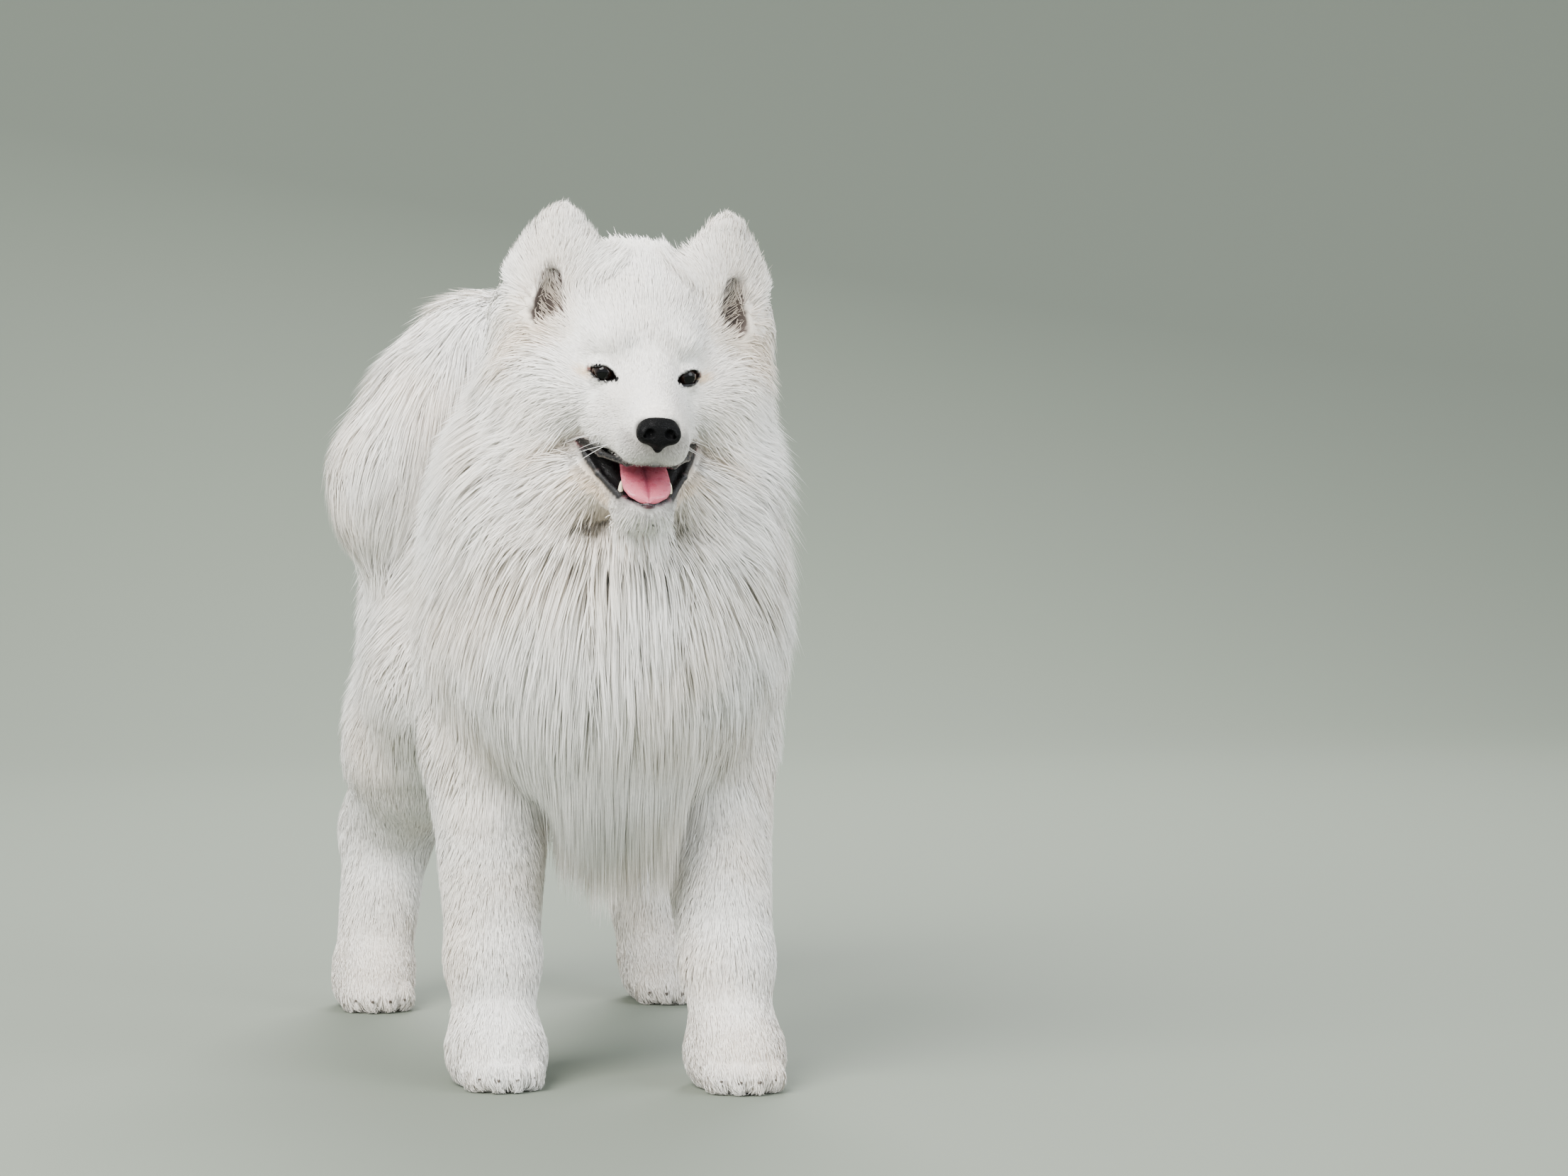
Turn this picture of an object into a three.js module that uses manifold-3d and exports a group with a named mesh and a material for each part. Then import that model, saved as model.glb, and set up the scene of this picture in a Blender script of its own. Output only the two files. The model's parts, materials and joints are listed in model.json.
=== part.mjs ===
// A samoyed dog standing on all fours, life size, head up, mouth open and tail curled over its back.
// Units are millimetres. The dog faces -Y, its left side is +X and +Z is up.
// Its flesh is one smooth field of rods and balls, each with a depth of coat over it. The field is meshed
// and parted into nodes, and the long coat is flat tapered locks that root in a core half as deep as it.
import * as THREE from "three";
import { mergeVertices } from "three/addons/utils/BufferGeometryUtils.js";
import Module from "manifold-3d";

const wasm = await Module();
wasm.setup();

// Driving dimensions
const FORE_STANCE = 102; // half the distance between the forefeet
const HIND_STANCE = 145;
const HIND_FOOT_Y = 525; // the hind feet stand this far behind the line of the forefeet
const FORE_STEP = 28; // the left forefoot stands this far ahead of that line, the right one behind it
const PAW_TOP = 60;
const FORELEG_TOP = 275;
const HINDLEG_TOP = 235; // of its bare part, under the thigh
const THIGH_TOP = 455;
const HEAD_AT = [6, -94, 655]; // middle of the brain case
const HEAD_PITCH = 12; // degrees that the muzzle points down
const HEAD_YAW = -4.5; // degrees, to the dog's right
const HEAD_ROLL = 3.3; // degrees, left side down
const EYE_AT = [34, -51.5, -15]; // in the head's own frame, like all that follows down to the ears
const EYE_RADIUS = 11.5;
const EYE_TURN = 18; // degrees, how far each eye looks outwards
const LID_THICK = 2.4;
const MOUTH_CORNER = [50, -42, -78];
const JAW_TIP = [0, -129, -112];
const NOSE_AT = [0, -146, -43];
const EAR_BASE = [69, 14, 28];
const EAR_HEIGHT = 90;
const EAR_TURN = 24; // degrees, how far the cup faces outwards
const EAR_LEAN = 2;
const GAP = 0.35; // between nodes that touch
const CORE = 0.48; // how much of the coat's depth the core under the locks takes up

// Small helpers
const radians = Math.PI / 180;
const mix = (a, b, t) => a + (b - a) * t;
const clamp = (v, lo, hi) => Math.min(hi, Math.max(lo, v));
const ramp = (v, lo, hi) => {
  const t = clamp((v - lo) / (hi - lo), 0, 1);
  return t * t * (3 - 2 * t);
};
const long = (x, y, z) => Math.sqrt(x * x + y * y + z * z);
const join = (a, b, k) => {
  const h = Math.max(k - Math.abs(a - b), 0) / k;
  return Math.min(a, b) - h * h * k * 0.25;
};
const carve = (a, b, k) => -join(-a, b, k);
const plus = (a, b, s = 1) => [a[0] + b[0] * s, a[1] + b[1] * s, a[2] + b[2] * s];
const dot = (a, b) => a[0] * b[0] + a[1] * b[1] + a[2] * b[2];
const cross = (a, b) => [a[1] * b[2] - a[2] * b[1], a[2] * b[0] - a[0] * b[2], a[0] * b[1] - a[1] * b[0]];
const unit = (v) => {
  const n = long(...v) || 1;
  return [v[0] / n, v[1] / n, v[2] / n];
};
let seed = 11;
const random = () => {
  seed = (seed * 1664525 + 1013904223) % 4294967296;
  return seed / 4294967296;
};

// Forms: each gives the distance to its surface, with its coat drawn to a share of the coat's depth
function ball([cx, cy, cz], [rx, ry, rz], coat = 0, blend = 30) {
  const reach = (x, y, z, share) => {
    const a = rx + coat * share;
    const b = ry + coat * share;
    const c = rz + coat * share;
    const u = (x - cx) / a;
    const v = (y - cy) / b;
    const w = (z - cz) / c;
    const near = long(u, v, w);
    return near < 1e-6 ? -Math.min(a, b, c) : (near * (near - 1)) / long(u / a, v / b, w / c);
  };
  return { reach, blend };
}
function rod(from, to, [r0, r1], [c0, c1] = [0, 0], blend = 30) {
  const [dx, dy, dz] = plus(to, from, -1);
  const square = dx * dx + dy * dy + dz * dz;
  const reach = (x, y, z, share) => {
    const ux = x - from[0];
    const uy = y - from[1];
    const uz = z - from[2];
    const t = clamp((ux * dx + uy * dy + uz * dz) / square, 0, 1);
    return long(ux - t * dx, uy - t * dy, uz - t * dz) - mix(r0 + c0 * share, r1 + c1 * share, t);
  };
  return { reach, blend };
}
const flip = ({ reach, blend }) => ({ reach: (x, y, z, share) => reach(-x, y, z, share), blend });
const pair = (...forms) => forms.flatMap((form) => [form, flip(form)]);
const chain = (points, radii, coats, blend) =>
  points
    .slice(1)
    .map((p, i) => rod(points[i], p, [radii[i], radii[i + 1]], [coats[i], coats[i + 1]], blend));
function blended(forms, x, y, z, share, start = 1e3) {
  let d = start;
  for (const { reach, blend } of forms) d = join(d, reach(x, y, z, share), blend);
  return d;
}

// Trunk, neck and legs
const TRUNK = [
  ball([0, 100, 440], [90, 160, 125], 50, 40),
  rod([0, 110, 496], [0, 440, 486], [66, 62], [46, 46], 50),
  ...pair(rod([66, 72, 515], [72, 22, 392], [44, 46], [44, 46], 40)),
  rod([0, 82, 505], [0, -26, 602], [78, 62], [62, 54], 40),
  ball([0, -18, 500], [72, 56, 80], 90, 40),
  ball([0, -6, 402], [66, 60, 88], 82, 40),
  ball([0, 300, 448], [82, 160, 84], 48, 40),
  ball([0, 432, 458], [84, 100, 84], 48, 40),
];
const step = (side, share) => -side * FORE_STEP * share;
function foreleg(side) {
  const elbow = [side * 97, 60 + step(side, 0.3), 300];
  const wrist = [side * 101, 14 + step(side, 0.85), 112];
  const fetlock = [side * FORE_STANCE, -6 + step(side, 1), 46];
  return [
    rod([side * 80, 66, 400], elbow, [50, 37], [38, 28], 36),
    rod(elbow, wrist, [35, 24], [25, 18], 24),
    rod(wrist, fetlock, [23, 21], [18, 15], 18),
    ball([side * FORE_STANCE, -24 + step(side, 1), 22], [33, 44, 26], 8, 14),
  ];
}
function hindleg(side) {
  const stifle = [side * 84, 395, 338];
  const hock = [side * 124, 572, 172];
  const ankle = [side * 140, 550, 56];
  return [
    rod([side * 60, 440, 450], stifle, [66, 46], [42, 38], 40),
    rod([side * 68, 450, 400], [side * 98, 500, 290], [54, 38], [40, 38], 36),
    rod(stifle, [side * 103, 480, 256], [44, 36], [36, 32], 30),
    rod([side * 103, 490, 262], hock, [37, 24], [32, 24], 30),
    rod(hock, ankle, [24, 21], [20, 16], 18),
    ball([side * HIND_STANCE, HIND_FOOT_Y, 22], [31, 43, 25], 8, 14),
  ];
}
const toes = (side, stance, y, size) =>
  [-23, -8, 8, 23].map((x) => {
    const ahead = Math.abs(x) < 10 ? 41 : 31;
    return ball([side * stance + x, y - ahead * size, 15], [9.5 * size, 16 * size, 13], 3, 5);
  });
const BODY = [
  ...TRUNK,
  ...[1, -1].flatMap((side) => [...foreleg(side), ...hindleg(side)]),
  ...[1, -1].flatMap((side) => [
    ...toes(side, FORE_STANCE, -24 + step(side, 1), 1),
    ...toes(side, HIND_STANCE, HIND_FOOT_Y, 0.95),
  ]),
];

// The head in its own frame, with its origin in the brain case and -Y towards the nose
const headTurn = new THREE.Euler(HEAD_PITCH * radians, HEAD_ROLL * radians, HEAD_YAW * radians, "ZXY");
const headMatrix = new THREE.Matrix4().makeRotationFromEuler(headTurn).setPosition(...HEAD_AT);
const headInverse = headMatrix.clone().invert();
const carried = (matrix, x, y, z) => {
  const e = matrix.elements;
  return [
    e[0] * x + e[4] * y + e[8] * z + e[12],
    e[1] * x + e[5] * y + e[9] * z + e[13],
    e[2] * x + e[6] * y + e[10] * z + e[14],
  ];
};
const SKULL = [
  ball([0, 10, 0], [58, 70, 50], 12, 14),
  ball([0, 24, 20], [50, 54, 44], 28, 16),
  ...pair(ball([26, -48, 7], [15, 13, 10], 4, 12)),
  rod([0, -44, -38], [0, -126, -50], [37, 24], [7, 4], 16),
  rod([0, -48, -17], [0, -136, -34], [18, 12], [4, 3], 12),
  ...pair(rod([24, -60, -58], [13, -126, -60], [17, 14], [5, 4], 10)),
  ...pair(ball([50, -4, -40], [28, 42, 34], 18, 18)),
  ...pair(ball([60, 26, -52], [32, 32, 42], 42, 26)),
  ball([0, 0, -92], [34, 46, 24], 24, 24),
];
const upperLip = [MOUTH_CORNER, [37, -86, -79], [20, -124, -77], [0, -138, -73]];
const lowerLip = [plus(MOUTH_CORNER, [0, 0, -3]), [37, -80, -97], [19, -117, -111], JAW_TIP];
const lip = (points, r) => {
  const even = (v) => points.map(() => v);
  return pair(...chain(points, even(r), even(0), 3));
};
const LIPS = [...lip(upperLip, 3.4), ...lip(lowerLip, 3.6)];
const JAW = [
  ...pair(rod([34, -26, -94], [11, -112, -119], [17, 10], [8, 5], 12)),
  ball([0, -74, -113], [26, 46, 9], 6, 10),
  ball([0, -116, -119], [16, 13, 9], 5, 8),
];
const PALATE = ball([0, -84, -84], [24, 46, 17]);
const mouthFall = (JAW_TIP[2] - MOUTH_CORNER[2]) / (JAW_TIP[1] - MOUTH_CORNER[1]);
function mouth(x, y, z) {
  const ahead = y - MOUTH_CORNER[1];
  const wedge = Math.max(z - MOUTH_CORNER[2] - 1, MOUTH_CORNER[2] + ahead * mouthFall - z, ahead);
  return Math.min(wedge, PALATE.reach(x, y, z, 0));
}
function headField(x, y, z, share) {
  const flesh = blended(JAW, x, y, z, share, blended(SKULL, x, y, z, share));
  return blended(LIPS, x, y, z, 0, carve(flesh, mouth(x, y, z), 3));
}

// The coat is short and has no locks on the face and the lower legs
const faceShare = (x, y, z) => ramp(y + 0.25 * Math.abs(x) - 0.1 * z, 44, 4);
const legShare = (z) => ramp(z, 300, 235);
function coatField(x, y, z, share) {
  const h = carried(headInverse, x, y, z);
  const level = share < 1 ? mix(share, 1, Math.max(legShare(z), faceShare(...h))) : share;
  return join(blended(BODY, x, y, z, level), headField(...h, level), 14);
}
const coreField = (x, y, z) => coatField(x, y, z, CORE);

// A field's closed surface inside a box, by surface nets, with each vertex then drawn onto the field
function surface(field, low, high, size) {
  const n = low.map((v, i) => Math.ceil((high[i] - v) / size) + 1);
  const index = (i, j, k) => (k * n[1] + j) * n[0] + i;
  const values = new Float64Array(n[0] * n[1] * n[2]).fill(size);
  const block = 4;
  for (let k = 1; k < n[2] - 1; k += block)
    for (let j = 1; j < n[1] - 1; j += block)
      for (let i = 1; i < n[0] - 1; i += block) {
        const middle = field(...[i, j, k].map((v, d) => low[d] + (v + block / 2) * size));
        const near = Math.abs(middle) < size * block * 1.6;
        const [ei, ej, ek] = [i, j, k].map((v, d) => Math.min(v + block, n[d] - 1));
        for (let c = k; c < ek; c++)
          for (let b = j; b < ej; b++)
            for (let a = i; a < ei; a++)
              values[index(a, b, c)] = near
                ? field(low[0] + a * size, low[1] + b * size, low[2] + c * size)
                : middle;
      }
  tidySigns(values, n);
  const corners = [...Array(8).keys()].map((c) => [c & 1, (c >> 1) & 1, c >> 2]);
  const offsets = corners.map(([a, b, c]) => index(a, b, c));
  const eight = [...Array(8).keys()];
  const sides = [1, 2, 4].flatMap((bit) => eight.filter((a) => !(a & bit)).map((a) => [a, a | bit]));
  const cell = new Map();
  const points = [];
  for (let k = 0; k + 1 < n[2]; k++)
    for (let j = 0; j + 1 < n[1]; j++)
      for (let i = 0; i + 1 < n[0]; i++) {
        const base = index(i, j, k);
        const inside = offsets.reduce((sum, o) => sum + (values[base + o] < 0), 0);
        if (inside === 0 || inside === 8) continue;
        const cuts = sides.filter(([a, b]) => values[base + offsets[a]] < 0 !== values[base + offsets[b]] < 0);
        let p = [0, 0, 0];
        for (const [a, b] of cuts) {
          const t = values[base + offsets[a]] / (values[base + offsets[a]] - values[base + offsets[b]]);
          p = plus(p, corners[a].map((c, d) => mix(c, corners[b][d], t)), 1 / cuts.length);
        }
        cell.set(base, points.length);
        points.push([i, j, k].map((v, d) => low[d] + (v + p[d]) * size));
      }
  const faces = [];
  const strides = [index(1, 0, 0), index(0, 1, 0), index(0, 0, 1)];
  for (let k = 0; k + 1 < n[2]; k++)
    for (let j = 0; j + 1 < n[1]; j++)
      for (let i = 0; i + 1 < n[0]; i++)
        for (let axis = 0; axis < 3; axis++) {
          const base = index(i, j, k);
          const here = values[base] < 0;
          if (here === values[base + strides[axis]] < 0) continue;
          const u = strides[(axis + 1) % 3];
          const v = strides[(axis + 2) % 3];
          const quad = [base, base - u, base - u - v, base - v].map((c) => cell.get(c));
          if (!here) quad.reverse();
          faces.push([quad[0], quad[1], quad[2]], [quad[0], quad[2], quad[3]]);
        }
  for (let pass = 0; pass < 3; pass++)
    points.forEach((p, i) => {
      const [x, y, z] = p;
      const e = 0.5;
      const here = field(x, y, z);
      const ahead = [field(x + e, y, z), field(x, y + e, z), field(x, y, z + e)];
      const g = ahead.map((v) => (v - here) / e);
      points[i] = plus(p, g, clamp(-here / Math.max(dot(g, g), 0.2), -size / 3, size / 3));
    });
  return { points, faces };
}

// Fills the corners at which two sheets of the surface would touch in one cell
function tidySigns(values, n) {
  const strides = [1, n[0], n[0] * n[1]];
  let changed = true;
  while (changed) {
    changed = false;
    for (let base = 0; base < values.length - strides[0] - strides[1] - strides[2]; base++)
      for (let axis = 0; axis < 3; axis++) {
        const u = strides[(axis + 1) % 3];
        const v = strides[(axis + 2) % 3];
        const ring = [base, base + u, base + u + v, base + v];
        const s = ring.map((c) => values[c] < 0);
        if (s[0] !== s[2] || s[1] !== s[3] || s[0] === s[1]) continue;
        const open = ring.filter((c) => values[c] >= 0).reduce((a, b) => (values[b] < values[a] ? b : a));
        values[open] = -1e-3;
        changed = true;
      }
  }
}

// Fewer triangles: edges that bend the surface least are collapsed, as long as it stays closed
const across = (a, b, c) => cross(plus(b, a, -1), plus(c, a, -1));
function thinned({ points, faces }, wanted) {
  points = [...points];
  faces = [...faces];
  const quadric = points.map(() => new Float64Array(10));
  faces.forEach((f) => {
    const n = across(points[f[0]], points[f[1]], points[f[2]]);
    const area = long(...n) || 1e-9;
    const [a, b, c] = n.map((v) => v / area);
    const d = -dot([a, b, c], points[f[0]]);
    const q = [a * a, a * b, a * c, a * d, b * b, b * c, b * d, c * c, c * d, d * d];
    f.forEach((v) => q.forEach((value, i) => (quadric[v][i] += value * area)));
  });
  const error = (q, [x, y, z]) =>
    q[0] * x * x + 2 * q[1] * x * y + 2 * q[2] * x * z + 2 * q[3] * x + q[4] * y * y +
    2 * q[5] * y * z + 2 * q[6] * y + q[7] * z * z + 2 * q[8] * z + q[9];
  const around = points.map(() => new Set());
  faces.forEach((f, i) => f.forEach((v) => around[v].add(i)));
  const neighbours = (v) => {
    const ring = new Set();
    around[v].forEach((i) => faces[i].forEach((u) => u !== v && ring.add(u)));
    return ring;
  };
  const folds = (v, other, to) =>
    [...around[v]].some((i) => {
      const f = faces[i];
      if (f.includes(other)) return false;
      const before = across(...f.map((u) => points[u]));
      const after = across(...f.map((u) => (u === v ? to : points[u])));
      return dot(unit(before), unit(after)) < 0.35 || long(...after) < 0.4;
    });
  let left = faces.length;
  while (left > wanted) {
    const edges = [];
    for (const f of faces) {
      if (!f) continue;
      for (let i = 0; i < 3; i++) {
        const [a, b] = [f[i], f[(i + 1) % 3]];
        if (b < a) continue;
        const [p, q] = [points[a], points[b]];
        let best = [Infinity];
        for (const at of [p, q, [(p[0] + q[0]) / 2, (p[1] + q[1]) / 2, (p[2] + q[2]) / 2]]) {
          const cost = error(quadric[a], at) + error(quadric[b], at);
          if (cost < best[0]) best = [cost, at];
        }
        const square = (p[0] - q[0]) ** 2 + (p[1] - q[1]) ** 2 + (p[2] - q[2]) ** 2;
        edges.push([best[0] + square * 1e-3, a, b, best[1]]);
      }
    }
    edges.sort((x, y) => x[0] - y[0]);
    const touched = new Set();
    let done = 0;
    for (const [, a, b, to] of edges.slice(0, Math.ceil(edges.length / 4) + 8)) {
      if (left <= wanted) break;
      if (touched.has(a) || touched.has(b)) continue;
      const ring = neighbours(b);
      const shared = [...neighbours(a)].filter((v) => ring.has(v));
      if (shared.length !== 2 || shared.some((v) => around[v].size < 4)) continue;
      if (folds(a, b, to) || folds(b, a, to)) continue;
      [...around[b]].forEach((i) => {
        if (faces[i].includes(a)) {
          faces[i].forEach((v) => around[v].delete(i));
          faces[i] = null;
          left--;
        } else {
          faces[i] = faces[i].map((v) => (v === b ? a : v));
          around[a].add(i);
        }
      });
      around[b] = new Set();
      points[a] = to;
      quadric[a] = quadric[a].map((v, i) => v + quadric[b][i]);
      [a, b, ...ring, ...neighbours(a)].forEach((v) => touched.add(v));
      done++;
    }
    if (!done) break;
  }
  const kept = faces.filter(Boolean);
  const number = new Map();
  kept.flat().forEach((v) => number.has(v) || number.set(v, number.size));
  return {
    points: [...number.keys()].map((v) => points[v]),
    faces: kept.map((f) => f.map((v) => number.get(v))),
  };
}

// The same surface moved out along its normals
function grown({ points, faces }, by) {
  const normals = points.map(() => [0, 0, 0]);
  faces.forEach((f) => {
    const n = across(...f.map((v) => points[v]));
    f.forEach((v) => (normals[v] = plus(normals[v], n)));
  });
  return { points: points.map((p, i) => plus(p, unit(normals[i]), by)), faces };
}

// Between three.js geometries, loose meshes and solids
const moved = ({ points, faces }, matrix) => ({ points: points.map((p) => carried(matrix, ...p)), faces });
const solidOf = ({ points, faces }) =>
  new wasm.Manifold(
    new wasm.Mesh({
      numProp: 3,
      vertProperties: new Float32Array(points.flat()),
      triVerts: new Uint32Array(faces.flat()),
    }),
  );
const mirrored = (p) => [-p[0], p[1], p[2]];
const triples = (list) => Array.from({ length: list.length / 3 }, (_, i) => [...list.slice(3 * i, 3 * i + 3)]);
function looseOf(geometry) {
  const bare = geometry.clone();
  bare.deleteAttribute("normal");
  bare.deleteAttribute("uv");
  const whole = mergeVertices(bare, 2e-3);
  const faces = triples(whole.index.array).filter((f) => f[0] !== f[1] && f[1] !== f[2] && f[0] !== f[2]);
  return { points: triples(whole.attributes.position.array), faces };
}
const shape = (geometry, matrix) => moved(looseOf(geometry), matrix);
const place = (at, turned = [0, 0, 0], size = [1, 1, 1]) =>
  new THREE.Matrix4().compose(
    new THREE.Vector3(...at),
    new THREE.Quaternion().setFromEuler(new THREE.Euler(...turned)),
    new THREE.Vector3(...size),
  );
const slab = ({ low, high, frame = new THREE.Matrix4() }, by = 0) => {
  const size = high.map((v, i) => v - low[i] + 2 * by);
  const middle = high.map((v, i) => (v + low[i]) / 2);
  return solidOf(shape(new THREE.BoxGeometry(...size), frame.clone().multiply(place(middle))));
};
const inside = ({ low, high, frame = new THREE.Matrix4() }, p, margin) =>
  carried(frame.clone().invert(), ...p).every((v, i) => v > low[i] + margin && v < high[i] - margin);
const largest = (solid) => solid.decompose().reduce((a, b) => (b.volume() > a.volume() ? b : a));
const joined = (solids) => (solids.length > 1 ? wasm.Manifold.union(solids) : solids[0]);

// Corners nearer to each other than WELD become one, and faces that this flattens are dropped
const WELD = 6e-3;
const AROUND = [-1, 0, 1].flatMap((i) => [-1, 0, 1].flatMap((j) => [-1, 0, 1].map((k) => [i, j, k])));
function welded({ points, faces }) {
  const cells = new Map();
  const kept = [];
  const number = points.map((p) => {
    const cell = p.map((v) => Math.floor(v / WELD));
    for (const offset of AROUND)
      for (const q of cells.get(plus(cell, offset).join()) ?? [])
        if (long(...plus(p, kept[q], -1)) < WELD) return q;
    const key = cell.join();
    cells.set(key, [...(cells.get(key) ?? []), kept.length]);
    return kept.push(p) - 1;
  });
  const whole = faces.map((f) => f.map((v) => number[v])).filter(([a, b, c]) => a !== b && b !== c && a !== c);
  const named = whole.map((f) => [...f].sort((a, b) => a - b).join());
  const times = new Map();
  named.forEach((name) => times.set(name, (times.get(name) ?? 0) + 1));
  return { points: kept, faces: whole.filter((_, i) => times.get(named[i]) === 1) };
}
// Corners of two sheets that share one place draw back from each other, each into its own flesh
const DRAW_BACK = 0.02;
function parted({ points, faces }) {
  const times = new Map();
  points.forEach((p) => times.set(p.join(), (times.get(p.join()) ?? 0) + 1));
  const back = grown({ points, faces }, -DRAW_BACK).points;
  return { points: points.map((p, i) => (times.get(p.join()) > 1 ? back[i] : p)), faces };
}
const looseFrom = (solid) => {
  const { vertProperties, triVerts } = solid.getMesh();
  return { points: triples(vertProperties), faces: triples(triVerts) };
};
function settled(solid) {
  const whole = largest(solidOf(welded(looseFrom(largest(solid)))));
  return largest(solidOf(parted(looseFrom(whole))));
}

// A closed body through rings of points, each end a cap or, where its ring has one point, a tip
function loft(rings) {
  const points = rings.flat();
  const starts = rings.map((_, i) => rings.slice(0, i).reduce((sum, ring) => sum + ring.length, 0));
  const faces = [];
  rings.slice(1).forEach((next, r) => {
    const ring = rings[r];
    const count = Math.max(ring.length, next.length);
    for (let i = 0; i < count; i++) {
      const [a, b] = [i, (i + 1) % count].map((v) => starts[r] + (ring.length > 1 ? v : 0));
      const [c, d] = [i, (i + 1) % count].map((v) => starts[r + 1] + (next.length > 1 ? v : 0));
      if (a !== b) faces.push([a, b, d]);
      if (c !== d) faces.push([a, d, c]);
    }
  });
  const cap = (ring, start, turned) => {
    for (let i = 1; i + 1 < ring.length; i++)
      faces.push(turned ? [start, start + i, start + i + 1] : [start, start + i + 1, start + i]);
  };
  cap(rings[0], starts[0], false);
  cap(rings.at(-1), starts.at(-1), true);
  return { points, faces };
}

// A node's flesh: a field meshed in a box and kept inside or outside of slabs, with a slightly larger twin
// that is cut from its neighbours
const ROOT_MARGIN = 18; // a lock roots at least this far inside its own node
function flesh({ field, low, high, size, count, keep = [], drop = [] }) {
  const loose = thinned(surface(field, low, high, size), count);
  const within = (mesh, keepBy, dropBy) => {
    const kept = keep.reduce((solid, region) => solid.intersect(slab(region, keepBy)), solidOf(mesh));
    return drop.reduce((solid, region) => solid.subtract(slab(region, dropBy)), kept);
  };
  return {
    solid: within(loose, -GAP / 2, GAP / 2),
    twin: within(grown(loose, GAP), GAP * 0.4, -GAP * 0.4),
    loose,
    holds: (p) =>
      keep.every((region) => inside(region, p, ROOT_MARGIN)) &&
      !drop.some((region) => inside(region, p, -ROOT_MARGIN)),
  };
}

// The lie of the coat: places on the dog and the way its hair runs there, those off its middle on both sides
const LIE_MIDDLE = [
  [[0, -70, 745], [0, 1, 0]], // crown
  [[0, 0, 725], [0, 0.85, -0.5]], // nape
  [[0, 120, 625], [0, 0.95, -0.3]], // withers
  [[0, 260, 595], [0, 1, -0.05]], // back
  [[0, 430, 590], [0, 0.95, -0.3]], // croup
  [[0, -150, 520], [0, -0.15, -1]], // throat
  [[0, -165, 440], [0, -0.05, -1]], // breast
  [[0, -110, 310], [0, 0.1, -1]], // apron
  [[0, 150, 275], [0, 0.7, -0.7]], // belly
  [[0, 300, 335], [0, 0.7, -0.7]], // groin
];
const LIE_SIDE = [
  [[110, -20, 640], [0.15, 0.5, -0.85]], // side of the neck
  [[105, -95, 600], [0.3, 0.3, -0.9]], // cheek
  [[140, -60, 500], [0.12, 0.1, -1]], // ruff
  [[150, -40, 390], [0.02, 0.1, -1]], // side of the breast
  [[150, 70, 470], [0.05, 0.45, -0.9]], // shoulder
  [[140, 170, 450], [0, 0.7, -0.7]], // ribs
  [[100, 250, 560], [0.3, 0.85, -0.4]], // upper side
  [[130, 300, 430], [0, 0.6, -0.8]], // flank
  [[130, 440, 520], [0.1, 0.6, -0.8]], // hip
  [[165, 420, 400], [0, 0.5, -0.87]], // thigh
  [[80, 540, 440], [0.05, 0.35, -0.95]], // breech
  [[100, 560, 300], [0, 0.25, -1]], // back of the thigh
  [[145, 490, 240], [0, 0.35, -0.94]], // shank
  [[110, 100, 290], [0, 0.7, -0.7]], // elbow
  [[130, 40, 200], [0, 0.4, -0.95]], // forearm
];
const LIE = [...LIE_MIDDLE, ...LIE_SIDE, ...LIE_SIDE.map(([at, way]) => [mirrored(at), mirrored(way)])];
function lieAt(p) {
  let sum = [0, 0, 0];
  for (const [at, way] of LIE) {
    const apart = plus(p, at, -1);
    sum = plus(sum, unit(way), 1 / (dot(apart, apart) + 400) ** 2);
  }
  return unit(sum);
}

// A flat tapered lock roots under the core's surface, follows the lie and rises to the coat's outside.
// A free one hangs clear of the body past its root. Its stations are the places along it.
const LOCK_STEPS = [0.36, 0.74, 1];
const LOCK_WIDTHS = [1, 0.78, 0];
const LOCK_ROOT = 10;
const LOCK_BEND = 0.5; // the least cosine between one ring of a lock and the next
const LOCK_CLEAR = 4;
function stationsOf({ root, length, rise, free, field, lie }) {
  const slope = (p, share) => {
    const e = 1.5;
    const here = field(...p, share);
    const g = [[e, 0, 0], [0, e, 0], [0, 0, e]].map((o) => (field(...plus(p, o), share) - here) / e);
    return { out: unit(g), here };
  };
  const along = (p, out) => {
    const way = lie(p);
    return unit(plus(way, out, -dot(way, out) * (1 - free)));
  };
  const first = slope(root, CORE);
  const start = along(root, first.out);
  const stations = [
    { at: plus(plus(root, first.out, -LOCK_ROOT), start, -LOCK_ROOT), out: first.out, way: start, wide: 0.5 },
  ];
  let at = root;
  LOCK_STEPS.forEach((t, i) => {
    const share = mix(CORE, rise, t ** 0.8);
    const way = along(at, slope(at, share).out);
    at = plus(at, way, length * (t - (LOCK_STEPS[i - 1] ?? 0)));
    const { out, here } = slope(at, share);
    at = plus(at, out, free > 0.3 ? -Math.min(here, 0) : -here);
    stations.push({ at, out, way, wide: LOCK_WIDTHS[i] });
  });
  return stations;
}
function ringsOf({ stations, length, width, thick }, by) {
  const more = 1 + by / (thick * 0.5);
  return stations.map(({ at, out, way, wide }, i) => {
    if (wide === 0) return [plus(at, way, length * 0.26 * (more - 1))];
    const sideways = unit(cross(way, out));
    const up = unit(cross(sideways, way));
    const half = width * 0.5 * wide * more;
    const deep = thick * 0.5 * more * (i === 0 ? 1 : wide);
    const under = plus(at, up, -deep * 0.6);
    return [plus(under, sideways, -half), plus(at, up, deep), plus(under, sideways, half)];
  });
}
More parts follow.
